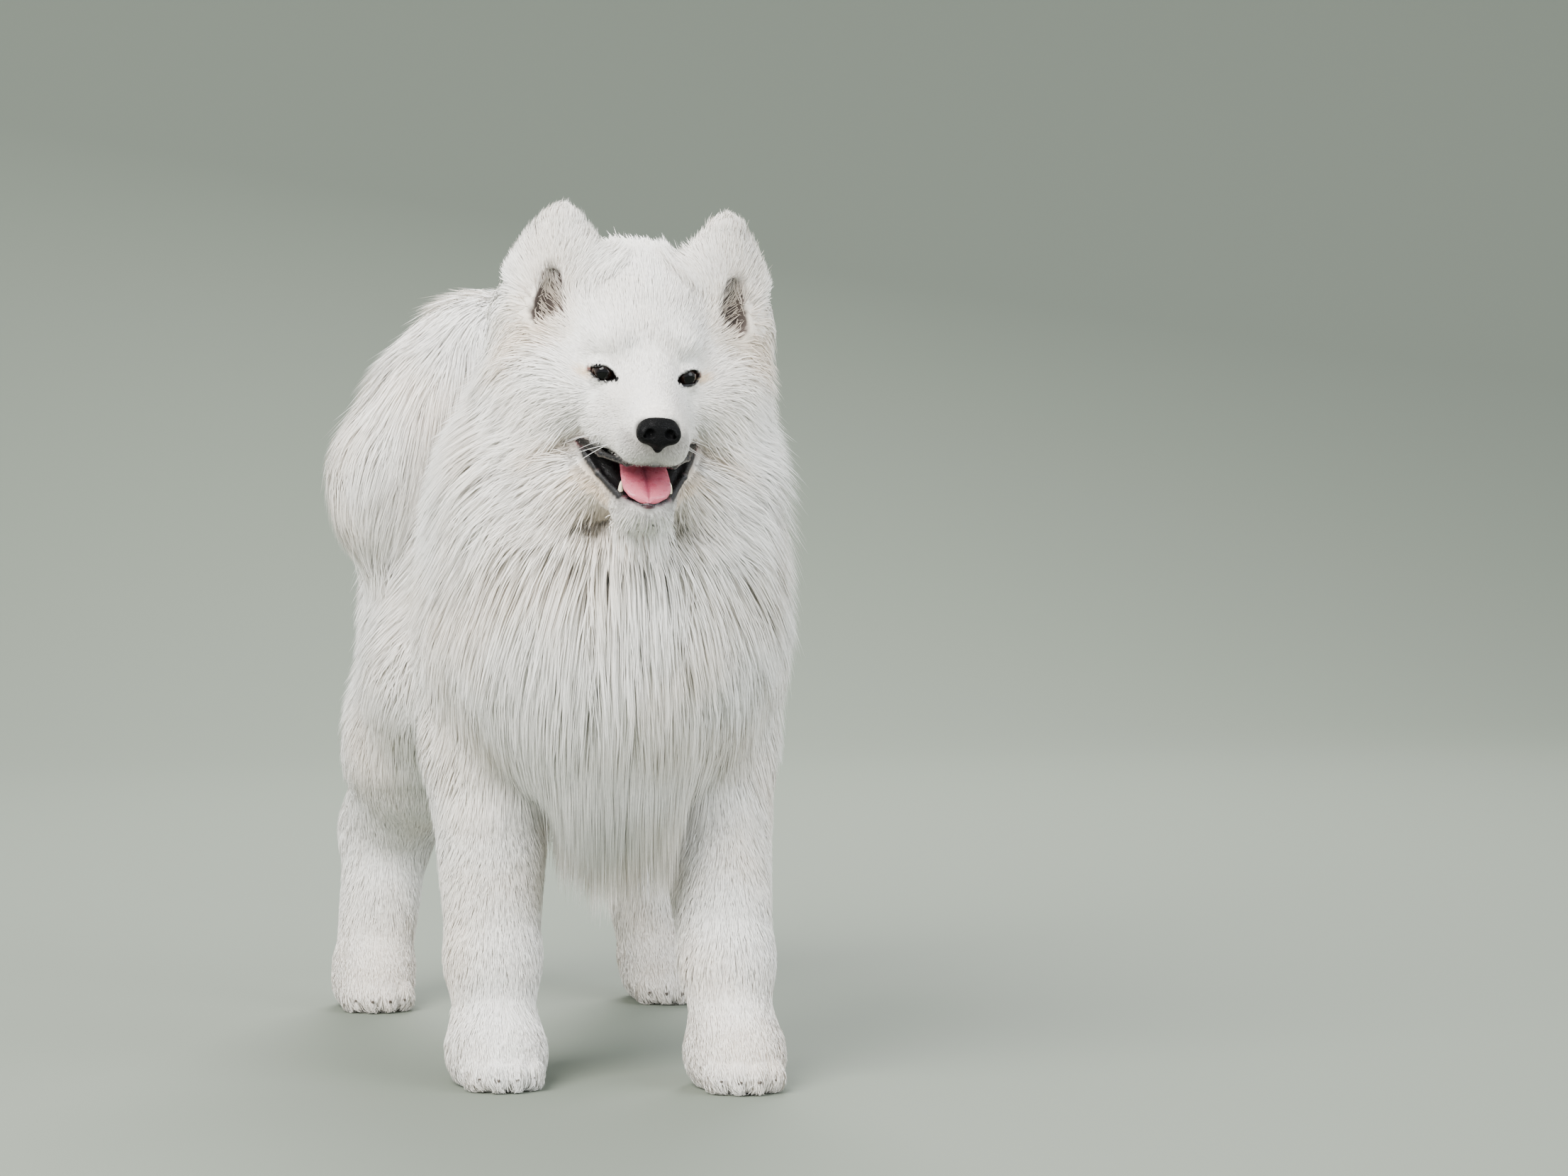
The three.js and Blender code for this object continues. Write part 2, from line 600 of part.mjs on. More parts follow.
// A lock is kept where each of its rings lies wholly ahead of the one before and is hardly twisted against it
function clear(one) {
  const rings = ringsOf(one, GAP);
  return one.stations.slice(1).every(({ at, way, out }, i) => {
    const last = one.stations[i];
    const behind = rings[i].every((p) => dot(plus(p, at, -1), way) < -LOCK_CLEAR);
    const ahead = rings[i + 1].every((p) => dot(plus(p, last.at, -1), last.way) > LOCK_CLEAR);
    return behind && ahead && dot(way, last.way) > LOCK_BEND && dot(out, last.out) > LOCK_BEND;
  });
}
const lock = (one, by) => solidOf(loft(ringsOf(one, by)));

// Roots spread evenly over a surface
function scattered({ points, faces }, spacing, accept) {
  const corners = faces.map((f) => f.map((v) => points[v]));
  let total = 0;
  const sums = corners.map((f) => (total += long(...across(...f)) / 2));
  const chosen = [];
  for (let left = (total / spacing ** 2) * 14; left > 0; left--) {
    const spot = random() * total;
    const [a, b, c] = corners[sums.findIndex((sum) => sum >= spot)];
    let [u, v] = [random(), random()];
    if (u + v > 1) [u, v] = [1 - u, 1 - v];
    const p = plus(plus(a, plus(b, a, -1), u), plus(c, a, -1), v);
    if (accept(p) && chosen.every((q) => long(...plus(p, q, -1)) > spacing)) chosen.push(p);
  }
  return chosen;
}
const HIGH_RISE = 1.08; // how far past the coat's depth the tips reach
const LOW_RISE = 1.3;
const varied = () => mix(0.88, 1.12, random());
function dressed({ solid, twin, loose, holds }, coats, { field = coatField, lie = lieAt, matrix } = {}) {
  const onBody = matrix ? moved(loose, matrix) : loose;
  const locks = coats.flatMap(({ spacing, length, width, thick = 8, rise = 1, free = 0, where = () => true }) =>
    scattered(onBody, spacing, (p) => holds(p) && where(...p)).map((root) => {
      const reach = length * varied();
      const over = rise * (matrix ? HIGH_RISE : mix(LOW_RISE, HIGH_RISE, ramp(root[2], 320, 400)));
      const stations = stationsOf({ root, length: reach, rise: over, free, field, lie });
      return { stations, length: reach, width: width * varied(), thick };
    }),
  ).filter(clear);
  const back = matrix ? matrix.clone().invert() : new THREE.Matrix4();
  const solids = (by) => locks.map((one) => lock(one, by).transform([...back.elements]));
  return { solid: joined([solid, ...solids(0)]), twin: joined([twin, ...solids(GAP)]) };
}

// What a node still holds inside another, such as a lock's tip in a hollow that has been filled, is taken off
const NEAR = [3, 3, 3];
function freed(node, other) {
  const caught = node.solid.intersect(other);
  if (caught.volume() < 1e-3) return;
  const { min, max } = caught.boundingBox();
  const middle = plus(min, max).map((v) => v / 2);
  const wider = other.translate(middle.map((v) => -v)).scale(1.002).translate(middle);
  const around = slab({ low: plus(min, NEAR, -1), high: plus(max, NEAR) });
  node.solid = settled(node.solid.subtract(wider.intersect(around)));
}

const nodes = new Map();
function add(name, { solid, twin }, neighbours = []) {
  const cut = neighbours.reduce((body, other) => body.subtract(nodes.get(other).twin), solid);
  const kept = settled(cut);
  for (const other of neighbours.map((one) => nodes.get(one))) freed(other, kept);
  nodes.set(name, { solid: kept, twin: twin ?? cut });
}
const LONG = { spacing: 64, length: 150, width: 76, thick: 9 };

// Legs and paws, each side with its own stance
const WIDE = 320;
const sideBox = (side, [x0, y0, z0], [x1, y1, z1]) => ({
  low: [Math.min(side * x0, side * x1), y0, z0],
  high: [Math.max(side * x0, side * x1), y1, z1],
});
const forelegBox = (side) => sideBox(side, [18, -160, -20], [240, 190, FORELEG_TOP]);
const hindlegBox = (side) => sideBox(side, [40, 300, -20], [260, 720, THIGH_TOP]);
const pawBox = (side, stance, y) => sideBox(side, [stance - 70, y - 100, 0], [stance + 70, y + 110, PAW_TOP]);
const CLAW = 4.2;
function claws(side, stance, y) {
  return [-24, -8.5, 8.5, 24].map((x) => {
    const ahead = Math.abs(x) < 10 ? 57 : 46;
    const claw = new THREE.ConeGeometry(CLAW, 20, 5);
    return solidOf(shape(claw, place([side * stance + x, y - ahead, 10.5], [Math.PI / 2 + 0.25, 0, 0])));
  });
}
function paw(name, side, stance, y) {
  const region = pawBox(side, stance, y);
  const low = plus(region.low, [0, 0, -8]);
  const high = plus(region.high, [0, 0, 8]);
  const { solid, twin } = flesh({ field: coreField, low, high, size: 3.4, count: 160, keep: [region] });
  const nails = claws(side, stance, y);
  const clawed = joined([solid, ...nails]).intersect(slab(region, -GAP / 2));
  add(name, { solid: clawed, twin: joined([twin, ...nails]) });
}
for (const side of [1, -1]) {
  const hand = side > 0 ? "left" : "right";
  paw(`forepaw_${hand}`, side, FORE_STANCE, -24 + step(side, 1));
  paw(`hindpaw_${hand}`, side, HIND_STANCE, HIND_FOOT_Y);
  const fore = sideBox(side, [18, -160, PAW_TOP], [240, 190, FORELEG_TOP]);
  const forearm = flesh({
    field: coreField,
    low: plus(fore.low, [0, 0, -8]),
    high: plus(fore.high, [0, 0, 8]),
    size: 6,
    count: 190,
    keep: [fore],
  });
  const behind = (x, y, z) => z > 120 && z < 250 && y > 44 + (z - 110) * 0.25 + step(side, 0.6);
  add(`foreleg_${hand}`, dressed(forearm, [
    { spacing: 36, length: 84, width: 44, thick: 8, rise: 1.6, free: 0.35, where: behind },
  ]), [`forepaw_${hand}`]);
  const limb = flesh({
    field: coreField,
    low: [side > 0 ? 8 : -230, 280, PAW_TOP - 8],
    high: [side > 0 ? 230 : -8, 680, THIGH_TOP + 10],
    size: 7,
    count: 270,
    keep: [hindlegBox(side)],
    drop: [pawBox(side, HIND_STANCE, HIND_FOOT_Y)],
  });
  const ham = (x, y, z) => z > HINDLEG_TOP;
  const hockBack = (x, y, z) => z > 110 && z < HINDLEG_TOP && y > 530;
  add(`hindleg_${hand}`, dressed(limb, [
    { ...LONG, length: 125, width: 68, spacing: 62, where: ham },
    { spacing: 44, length: 80, width: 46, thick: 8, rise: 1.5, free: 0.35, where: hockBack },
  ]), [`hindpaw_${hand}`]);
}

// Trunk and neck
const CHEST_END = 215;
const bothSides = (box) => [box(1), box(-1)];
const neckSlab = {
  low: [-WIDE, -WIDE, 0],
  high: [WIDE, WIDE, WIDE],
  frame: place([0, 45, 545], [20 * radians, 0, 0]),
};
const headSlab = { low: [-200, -260, -138], high: [200, 45, 200], frame: headMatrix };
const jawSlab = { low: [-57, -260, -138], high: [57, -36, -80], frame: headMatrix };
const trunkPiece = (y0, y1, count, drop) =>
  flesh({
    field: coreField,
    low: [-230, y0 - 20, HINDLEG_TOP - 10],
    high: [230, y1 + 20, 700],
    size: 9,
    count,
    keep: [{ low: [-WIDE, y0, HINDLEG_TOP], high: [WIDE, y1, 700] }],
    drop,
  });
const hindlegs = ["hindleg_left", "hindleg_right"];
const rump = trunkPiece(CHEST_END, 640, 320, [...bothSides(hindlegBox), neckSlab]);
const under = (x, y, z) => z < 370 && y < 330;
add("rump", dressed(rump, [
  { ...LONG, where: (...p) => !under(...p) },
  { ...LONG, length: 90, width: 58, free: 0.5, where: under },
]), hindlegs);
const forelegs = ["foreleg_left", "foreleg_right"];
const chest = trunkPiece(-230, CHEST_END, 320, [...bothSides(forelegBox), neckSlab, headSlab]);
const fringe = (x, y, z) => z < 345 && y < 20 && Math.abs(x) < 62;
add("chest", dressed(chest, [
  { ...LONG, spacing: 67, where: (...p) => !fringe(...p) },
  { ...LONG, spacing: 48, length: 165, width: 58, free: 1, where: fringe },
]), [...forelegs, "rump"]);
const neck = flesh({
  field: coreField,
  low: [-220, -260, 440],
  high: [220, 260, 780],
  size: 8,
  count: 200,
  keep: [neckSlab],
  drop: [headSlab],
});
add("neck", dressed(neck, [{ ...LONG, spacing: 46, length: 140, width: 78 }]), ["chest", "rump", ...forelegs]);

// Eyes, nose, tongue and teeth, in the head's own frame
const eyePlace = (side, tilt = 0) =>
  place([side * EYE_AT[0], EYE_AT[1], EYE_AT[2]], [Math.PI / 2, side * EYE_TURN * radians, side * tilt]);
const eyeball = (side, radius, detail) =>
  solidOf(shape(new THREE.SphereGeometry(radius, detail, Math.round(detail * 0.7)), eyePlace(side)));
function lidOpening(side) {
  const half = 12.5;
  const almond = new THREE.Shape();
  almond.moveTo(-half, -1.5);
  almond.bezierCurveTo(-half * 0.5, -7.5, half * 0.5, -7, half, 0.5);
  almond.bezierCurveTo(half * 0.55, 8.5, -half * 0.5, 8.5, -half, -1.5);
  const prism = new THREE.ExtrudeGeometry(almond, { depth: 16, bevelEnabled: false, curveSegments: 5 });
  const inward = place([0, 0, EYE_RADIUS - 5], [0, 0, 0], [side, 1, 1]);
  return solidOf(facing(shape(prism, eyePlace(side).multiply(inward)), side));
}
// A mirrored mesh is turned so that its faces point out again
function facing(loose, side) {
  return side > 0 ? loose : { points: loose.points, faces: loose.faces.map(([a, b, c]) => [a, c, b]) };
}
const NOSE = [
  ball([0, 1, 0], [17.5, 12.5, 13], 0, 5),
  ball([0, 8, 6], [13, 12, 10], 0, 6),
  ...pair(ball([11, -3, -2], [8, 9, 8.5], 0, 3)),
  rod([0, -5, -7], [0, -4, -18], [5.5, 3], [0, 0], 5),
];
const NOSTRILS = pair(
  ball([8.4, -13, 0], [4.4, 7, 4.2], 0, 1.5),
  rod([11, -11, -2], [17, -4, -4.5], [1.8, 1.3], [0, 0], 1.5),
);
const PHILTRUM = rod([0, -14.5, -3], [0, -9, -19], [1.2, 1.2]);
function noseField(x, y, z) {
  const holes = Math.min(blended(NOSTRILS, x, y, z, 0), PHILTRUM.reach(x, y, z, 0));
  return carve(blended(NOSE, x, y, z, 0), holes, 1.5);
}
const NOSE_BOX = [[-24, -22, -26], [24, 26, 22]];
const NOSE_CLEAR = 1.1;
const noseLoose = thinned(surface(noseField, ...NOSE_BOX, 1.5), 320);
const noseBed = thinned(surface((...p) => blended(NOSE, ...p, 0) - NOSE_CLEAR, ...NOSE_BOX, 1.8), 260);
const nosePlace = place(NOSE_AT);
const nose = {
  solid: solidOf(moved(noseLoose, nosePlace)),
  twin: solidOf(moved(noseBed, nosePlace)),
};

// The tongue lies along the floor of the mouth, with a groove down its middle and a round tip
const TONGUE_LINE = [
  [0, -34, -84], [0, -62, -83], [0, -88, -89],
  [0, -106, -95.5], [0, -119, -102], [0, -126.5, -107],
];
const TONGUE_WIDTH = [10, 15, 19, 20.5, 18, 9];
const TONGUE_THICK = 3.4;
function tongue(by) {
  const rings = TONGUE_LINE.map((at, i) =>
    [...Array(12).keys()].map((k) => {
      const a = (k / 12) * 2 * Math.PI;
      const [c, s] = [Math.cos(a), Math.sin(a)];
      const w = TONGUE_WIDTH[i] + by;
      const groove = s > 0.9 ? 1.6 : 0;
      return [w * c, at[1], at[2] + (TONGUE_THICK + by) * Math.sign(s) * Math.abs(s) ** 0.6 - groove];
    }),
  );
  return solidOf(loft([...rings, [[0, -129.5 - by, -109.5]]]));
}
const TOOTH_AT = [21, -109, -106];
const TOOTH_LEAN = 0.12;
function tooth(side, by) {
  const cone = new THREE.ConeGeometry(2.9 + by, 19 + 2 * by, 7);
  const at = [side * TOOTH_AT[0], TOOTH_AT[1], TOOTH_AT[2]];
  return solidOf(shape(cone, place(at, [TOOTH_LEAN, 0, -side * TOOTH_LEAN])));
}

// Lower jaw and head
const faceField = (x, y, z) => coreField(...carried(headMatrix, x, y, z));
const inHead = ({ low, high }) => ({ low, high }); // the slab in the head's own frame
const toHead = [...headInverse.elements];
const jaw = flesh({
  field: faceField,
  low: [-110, -150, -150],
  high: [110, -20, -66],
  size: 3.2,
  count: 340,
  keep: [inHead(jawSlab)],
});
const skull = flesh({
  field: faceField,
  low: [-175, -175, -150],
  high: [175, 56, 110],
  size: 3.6,
  count: 1380,
  keep: [inHead(headSlab)],
  drop: [inHead(jawSlab)],
});
const sides = [1, -1];
const mouthFill = [tongue(GAP), ...sides.map((side) => tooth(side, GAP))];
const minus = (solid, others) => others.reduce((body, other) => body.subtract(other), solid);
add("lower_jaw", { solid: minus(jaw.solid, mouthFill), twin: jaw.twin });
const lids = sides.map((side) => eyeball(side, EYE_RADIUS + LID_THICK, 16));
const sockets = sides.map((side) => eyeball(side, EYE_RADIUS + 0.8, 12));
const openings = sides.map((side) => lidOpening(side));
const neckTwin = joined(["neck", "chest"].map((name) => nodes.get(name).twin)).transform(toHead);
const onCheeks = (x, y, z) => {
  const h = carried(headInverse, x, y, z);
  return h[1] > 6 + 0.12 * h[2] && h[2] < 40;
};
const hairy = dressed({ ...skull, holds: (p) => skull.holds(carried(headInverse, ...p)) }, [
  { spacing: 32, length: 96, width: 50, thick: 8, where: onCheeks },
], { matrix: headMatrix });
const headRoom = [...sockets, ...openings, nose.twin, tongue(GAP), neckTwin];
const headSolid = minus(joined([hairy.solid, ...lids]), headRoom);
add("head", { solid: headSolid, twin: hairy.twin }, ["lower_jaw"]);
add("nose", nose);
add("tongue", { solid: tongue(0) });
for (const side of sides) {
  const hand = side > 0 ? "left" : "right";
  add(`eye_${hand}`, { solid: eyeball(side, EYE_RADIUS, 11) });
  add(`tooth_${hand}`, { solid: tooth(side, 0) });
}

// Ears: a thick rounded cup, its mouth turned forwards and out
function ear(side) {
  const tip = 23;
  const outerEar = rod([0, 0, -10], [0, 0, EAR_HEIGHT - tip], [50, tip]);
  const cup = rod([0, -36, 10], [0, -24, EAR_HEIGHT - tip], [33, 13]);
  const field = (x, y, z) => carve(outerEar.reach(x, y * 1.5, z, 0) * 0.8, cup.reach(x, y, z, 0), 5);
  const loose = thinned(surface(field, [-62, -50, -70], [62, 50, EAR_HEIGHT + 8], 3.4), 180);
  const at = [side * EAR_BASE[0], EAR_BASE[1], EAR_BASE[2]];
  const matrix = place(at, [0, side * EAR_LEAN * radians, side * EAR_TURN * radians]);
  return { solid: solidOf(moved(loose, matrix)) };
}
for (const side of sides) {
  const { solid } = ear(side);
  add(side > 0 ? "ear_left" : "ear_right", { solid: solid.subtract(neckTwin) }, ["head"]);
}

// Tail: up from the croup, forwards over the back and down the dog's right side
const TAIL_LINE = [
  [0, 498, 540], [0, 528, 600], [-18, 500, 640],
  [-60, 448, 642], [-106, 406, 598], [-146, 386, 540], [-158, 380, 498],
];
const TAIL_RADII = [24, 20, 17, 15, 13, 11, 8];
const TAIL_COATS = [30, 38, 44, 48, 50, 50, 40];
const TAIL = chain(TAIL_LINE, TAIL_RADII, TAIL_COATS, 24);
const tailField = (x, y, z, share) => blended(TAIL, x, y, z, share);
function tailLie(p) {
  const nearest = TAIL_LINE.slice(1)
    .map((to, i) => {
      const middle = plus(to, TAIL_LINE[i]).map((v) => v / 2);
      return [long(...plus(p, middle, -1)), plus(to, TAIL_LINE[i], -1)];
    })
    .reduce((a, b) => (b[0] < a[0] ? b : a));
  return unit(plus(unit(nearest[1]), [0, 0, -0.3]));
}
const tailPiece = (x0, x1, z0, count) =>
  flesh({
    field: (x, y, z) => tailField(x, y, z, CORE),
    low: [x0 - 10, 300, z0 - 10],
    high: [x1 + 10, 640, 740],
    size: 7,
    count,
    keep: [{ low: [x0, 300, z0], high: [x1, 640, 740] }],
  });
const BODY_NODES = ["rump", "hindleg_right", "chest"];
const TAIL_COAT = [{ spacing: 52, length: 120, width: 62, thick: 9, free: 0.12 }];
const onTail = { field: tailField, lie: tailLie };
add("tail_tip", dressed(tailPiece(-230, -42, 430, 240), TAIL_COAT, onTail), BODY_NODES);
add("tail_base", dressed(tailPiece(-42, 90, 480, 200), TAIL_COAT, onTail), [...BODY_NODES, "tail_tip"]);

// Colours and the scene graph
const material = (color, roughness) => new THREE.MeshStandardMaterial({ color, roughness, metalness: 0 });
const colours = {
  coat: material(0xf2efe9, 0.9),
  nose: material(0x1c1b1c, 0.45),
  eye: material(0x1a100b, 0.1),
  tongue: material(0xc9606d, 0.45),
  tooth: material(0xf3eee2, 0.3),
};
const IN_HEAD = /^(head|lower_jaw|nose|tongue|ear|eye|tooth)/;
const dog = new THREE.Group();
const headGroup = new THREE.Group();
headGroup.applyMatrix4(headMatrix);
dog.add(headGroup);
for (const [name, { solid }] of nodes) {
  const { vertProperties, triVerts } = solid.getMesh();
  const geometry = new THREE.BufferGeometry();
  geometry.setAttribute("position", new THREE.BufferAttribute(new Float32Array(vertProperties), 3));
  geometry.setIndex(new THREE.BufferAttribute(new Uint32Array(triVerts), 1));
  geometry.computeVertexNormals();
  const mesh = new THREE.Mesh(geometry, colours[name.split("_")[0]] ?? colours.coat);
  mesh.name = name;
  (IN_HEAD.test(name) ? headGroup : dog).add(mesh);
}

// The origin is at the middle of the base of the whole dog's box
const box = new THREE.Box3().setFromObject(dog, true);
const middle = box.getCenter(new THREE.Vector3());
dog.position.set(-middle.x, -middle.y, -box.min.z);

export default dog;
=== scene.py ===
# A white samoyed, life size: one smooth skin, a coat of thin flat tufts over it, and the face's own pieces.
# Lengths in the forms are millimetres in the maker's frame, with the forefeet's line at Y = 0.
# Meshes are in metres.
import json
import math

import bpy
import numpy as np
from mathutils import Matrix, Vector


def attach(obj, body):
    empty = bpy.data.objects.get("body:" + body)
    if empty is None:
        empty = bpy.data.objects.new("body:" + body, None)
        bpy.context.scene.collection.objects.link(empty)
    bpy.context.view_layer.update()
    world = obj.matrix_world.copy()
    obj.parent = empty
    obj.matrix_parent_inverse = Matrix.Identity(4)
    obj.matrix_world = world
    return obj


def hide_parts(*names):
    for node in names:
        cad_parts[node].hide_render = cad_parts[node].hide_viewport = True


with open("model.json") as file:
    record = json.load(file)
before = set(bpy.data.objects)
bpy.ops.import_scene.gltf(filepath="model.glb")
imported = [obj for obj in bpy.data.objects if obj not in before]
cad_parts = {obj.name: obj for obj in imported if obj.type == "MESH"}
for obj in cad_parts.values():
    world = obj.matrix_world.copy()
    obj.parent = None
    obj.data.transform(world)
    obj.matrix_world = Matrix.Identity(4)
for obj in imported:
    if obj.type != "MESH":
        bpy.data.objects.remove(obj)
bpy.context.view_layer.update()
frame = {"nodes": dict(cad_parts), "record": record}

# Driving dimensions, as in the part
FORE_STANCE = 102
HIND_STANCE = 145
HIND_FOOT_Y = 525
FORE_STEP = 28
FORE_PAW_Y = -24  # the forepaws' middle, ahead of the line
HEAD_AT = (6, -94, 655)
HEAD_TURN = (12, 3.3, -1.5)  # degrees of pitch, roll and yaw, a little further round than the solids
EYE_AT = np.array([34.0, -51.5, -15.0])
EYE_RADIUS = 11.5
EYE_TURN = 18
MOUTH_CORNER = np.array([50.0, -42.0, -78.0])
JAW_TIP = np.array([0.0, -129.0, -112.0])
NOSE_AT = np.array([0.0, -146.0, -43.0])
EAR_BASE = (69, 14, 28)
EAR_HEIGHT = 84
EAR_TURN = 24
EAR_LEAN = 2
MM = 0.001
FLIP = np.array([-1, 1, 1])
rng = np.random.default_rng(11)

# The maker's frame against the frame on the floor: the left forepaw's sole is a mount
sole = next(m for m in frame["record"]["mounts"] if m["name"] == "sole_forepaw_left")
SHIFT = np.array([sole["pos_m"][0] - FORE_STANCE * MM, sole["pos_m"][1] + (FORE_STEP - FORE_PAW_Y) * MM, 0.0])


def placed(points):
    """Points in millimetres of the maker's frame, in metres on the floor."""
    return np.asarray(points, float) * MM + SHIFT


def unit(vectors):
    return vectors / np.maximum(np.linalg.norm(vectors, axis=-1, keepdims=True), 1e-9)


def crossed_corners(corners):
    """The cross product of each quad's diagonals: its way out, twice its area long."""
    return np.cross(corners[:, 2] - corners[:, 0], corners[:, 3] - corners[:, 1])


def ramp(value, low, high):
    t = np.clip((value - low) / (high - low), 0, 1)
    return t * t * (3 - 2 * t)


def mix(a, b, t):
    return a + (b - a) * t


def on_left(h):
    """Places, with those right of the middle mirrored to the left."""
    mirrored = h.copy()
    mirrored[..., 0] = np.abs(h[..., 0])
    return mirrored


# Forms of the body: each gives the distance to its surface, with its coat drawn to a share of its depth


def ball(centre, radii, coat=0.0, blend=30.0):
    def reach(p, share):
        radius = [r + coat * share for r in radii]
        u, v, w = ((p[..., i] - centre[i]) / radius[i] for i in range(3))
        near = np.sqrt(u * u + v * v + w * w)
        slope = np.sqrt((u / radius[0]) ** 2 + (v / radius[1]) ** 2 + (w / radius[2]) ** 2)
        return near * (near - 1) / np.maximum(slope, 1e-9)

    return reach, blend


def rod(start, end, radii, coats=(0.0, 0.0), blend=30.0):
    start = np.asarray(start, float)
    along = np.asarray(end, float) - start
    square = along @ along

    def reach(p, share):
        q = p - start
        t = np.clip(q @ along / square, 0, 1)
        apart = np.linalg.norm(q - t[..., None] * along, axis=-1)
        return apart - mix(radii[0] + coats[0] * share, radii[1] + coats[1] * share, t)

    return reach, blend


def pair(*forms):
    def flipped(form):
        reach, blend = form
        return (lambda p, share: reach(p * FLIP, share)), blend

    return [one for form in forms for one in (form, flipped(form))]


def chain(points, radii, coats, blend):
    return [
        rod(points[i], points[i + 1], radii[i : i + 2], coats[i : i + 2], blend)
        for i in range(len(points) - 1)
    ]


def join(a, b, k):
    h = np.maximum(k - np.abs(a - b), 0) / k
    return np.minimum(a, b) - h * h * k * 0.25


def blended(forms, p, share, start=None):
    d = np.full(p.shape[:-1], 1e3) if start is None else start
    for reach, blend in forms:
        d = join(d, reach(p, share), blend)
    return d


TRUNK = [
    ball([0, 100, 440], [90, 160, 125], 50, 40),
    rod([0, 110, 496], [0, 440, 486], [66, 62], [46, 46], 50),
    *pair(rod([66, 72, 515], [72, 22, 392], [44, 46], [44, 46], 40)),
    rod([0, 82, 505], [0, -26, 602], [78, 62], [62, 54], 40),
    ball([0, -18, 500], [72, 56, 80], 90, 40),
    ball([0, -6, 402], [66, 60, 88], 82, 40),
    ball([0, 300, 448], [82, 160, 84], 48, 40),
    ball([0, 432, 458], [84, 100, 84], 48, 40),
]


def step(side, share):
    return -side * FORE_STEP * share


def foreleg(side):
    elbow = [side * 97, 60 + step(side, 0.3), 300]
    wrist = [side * 101, 14 + step(side, 0.85), 112]
    fetlock = [side * FORE_STANCE, -6 + step(side, 1), 46]
    return [
        rod([side * 80, 66, 400], elbow, [50, 37], [38, 28], 36),
        rod(elbow, wrist, [35, 24], [25, 18], 24),
        rod(wrist, fetlock, [23, 23], [18, 16], 18),
        ball([side * FORE_STANCE, FORE_PAW_Y + step(side, 1), 22], [33, 44, 26], 8, 34),
    ]


def hindleg(side):
    stifle = [side * 84, 395, 338]
    hock = [side * 124, 572, 172]
    ankle = [side * 140, 550, 56]
    return [
        rod([side * 60, 440, 450], stifle, [66, 46], [42, 38], 40),
        rod([side * 68, 450, 400], [side * 98, 500, 290], [54, 38], [40, 38], 36),
        rod(stifle, [side * 103, 480, 256], [44, 36], [36, 32], 30),
        rod([side * 103, 490, 262], hock, [37, 24], [32, 24], 30),
        rod(hock, ankle, [24, 22], [20, 17], 18),
        ball([side * HIND_STANCE, HIND_FOOT_Y, 22], [31, 43, 25], 8, 34),
    ]


PAWS = [
    (side, stance, y, size)
    for side in (1, -1)
    for stance, y, size in (
        (FORE_STANCE, FORE_PAW_Y + step(side, 1), 1.0), (HIND_STANCE, HIND_FOOT_Y, 0.95),
    )
]


def toes(side, stance, y, size):
    return [
        ball([side * stance + x, y - (41 if abs(x) < 10 else 31) * size, 15],
             [9.5 * size, 16 * size, 13], 3, 5)
        for x in (-23, -8, 8, 23)
    ]


TAIL_LINE = [
    [0, 498, 540], [0, 528, 600], [-18, 500, 640], [-60, 448, 642],
    [-106, 406, 598], [-146, 386, 540], [-158, 380, 498],
]
TAIL = chain(TAIL_LINE, [24, 20, 17, 15, 13, 11, 8], [30, 38, 44, 48, 50, 50, 40], 24)
LEGS = [form for side in (1, -1) for form in foreleg(side) + hindleg(side)]
BODY = TRUNK + LEGS + [form for paw in PAWS for form in toes(*paw)]

# The head in its own frame, with its origin in the brain case and -Y towards the nose
pitch, roll, yaw = (math.radians(a) for a in HEAD_TURN)
HEAD_ROTATION = np.array(
    Matrix.Rotation(yaw, 3, "Z") @ Matrix.Rotation(pitch, 3, "X") @ Matrix.Rotation(roll, 3, "Y")
)


def from_head(points):
    return np.asarray(points, float) @ HEAD_ROTATION.T + HEAD_AT


def to_head(points):
    return (points - np.array(HEAD_AT)) @ HEAD_ROTATION


SKULL = [
    ball([0, 10, 0], [58, 70, 50], 12, 14),
    ball([0, 24, 20], [50, 54, 44], 28, 16),
    *pair(ball([26, -48, 7], [15, 13, 10], 4, 12)),
    rod([0, -44, -38], [0, -126, -50], [37, 24], [7, 4], 16),
    rod([0, -48, -17], [0, -136, -34], [18, 12], [4, 3], 12),
    *pair(rod([24, -60, -58], [13, -126, -60], [17, 14], [5, 4], 10)),
    *pair(ball([50, -4, -40], [28, 42, 34], 18, 18)),
    *pair(ball([60, 26, -52], [32, 32, 42], 42, 26)),
    ball([0, 0, -92], [34, 46, 24], 24, 24),
    *pair(ball([34, -26, -114], [22, 30, 20], 28, 26)),
]
UPPER_LIP = [MOUTH_CORNER, [37, -86, -79], [20, -124, -77], [0, -138, -73]]
LOWER_LIP = [MOUTH_CORNER - [0, 0, 3], [37, -80, -97], [19, -117, -111], JAW_TIP]
LIPS = pair(*chain(UPPER_LIP, [2.9] * 4, [0] * 4, 3), *chain(LOWER_LIP, [3.0] * 4, [0] * 4, 3))
JAW = [
    *pair(rod([34, -26, -94], [11, -112, -119], [17, 10], [8, 5], 12)),
    ball([0, -74, -113], [26, 46, 9], 6, 10),
    ball([0, -116, -119], [16, 13, 9], 5, 8),
]
PALATE = ball([0, -84, -84], [24, 46, 17])
MOUTH_FALL = (JAW_TIP[2] - MOUTH_CORNER[2]) / (JAW_TIP[1] - MOUTH_CORNER[1])
LIP_X, LIP_Y, LIP_Z = np.array(LOWER_LIP[::-1]).T


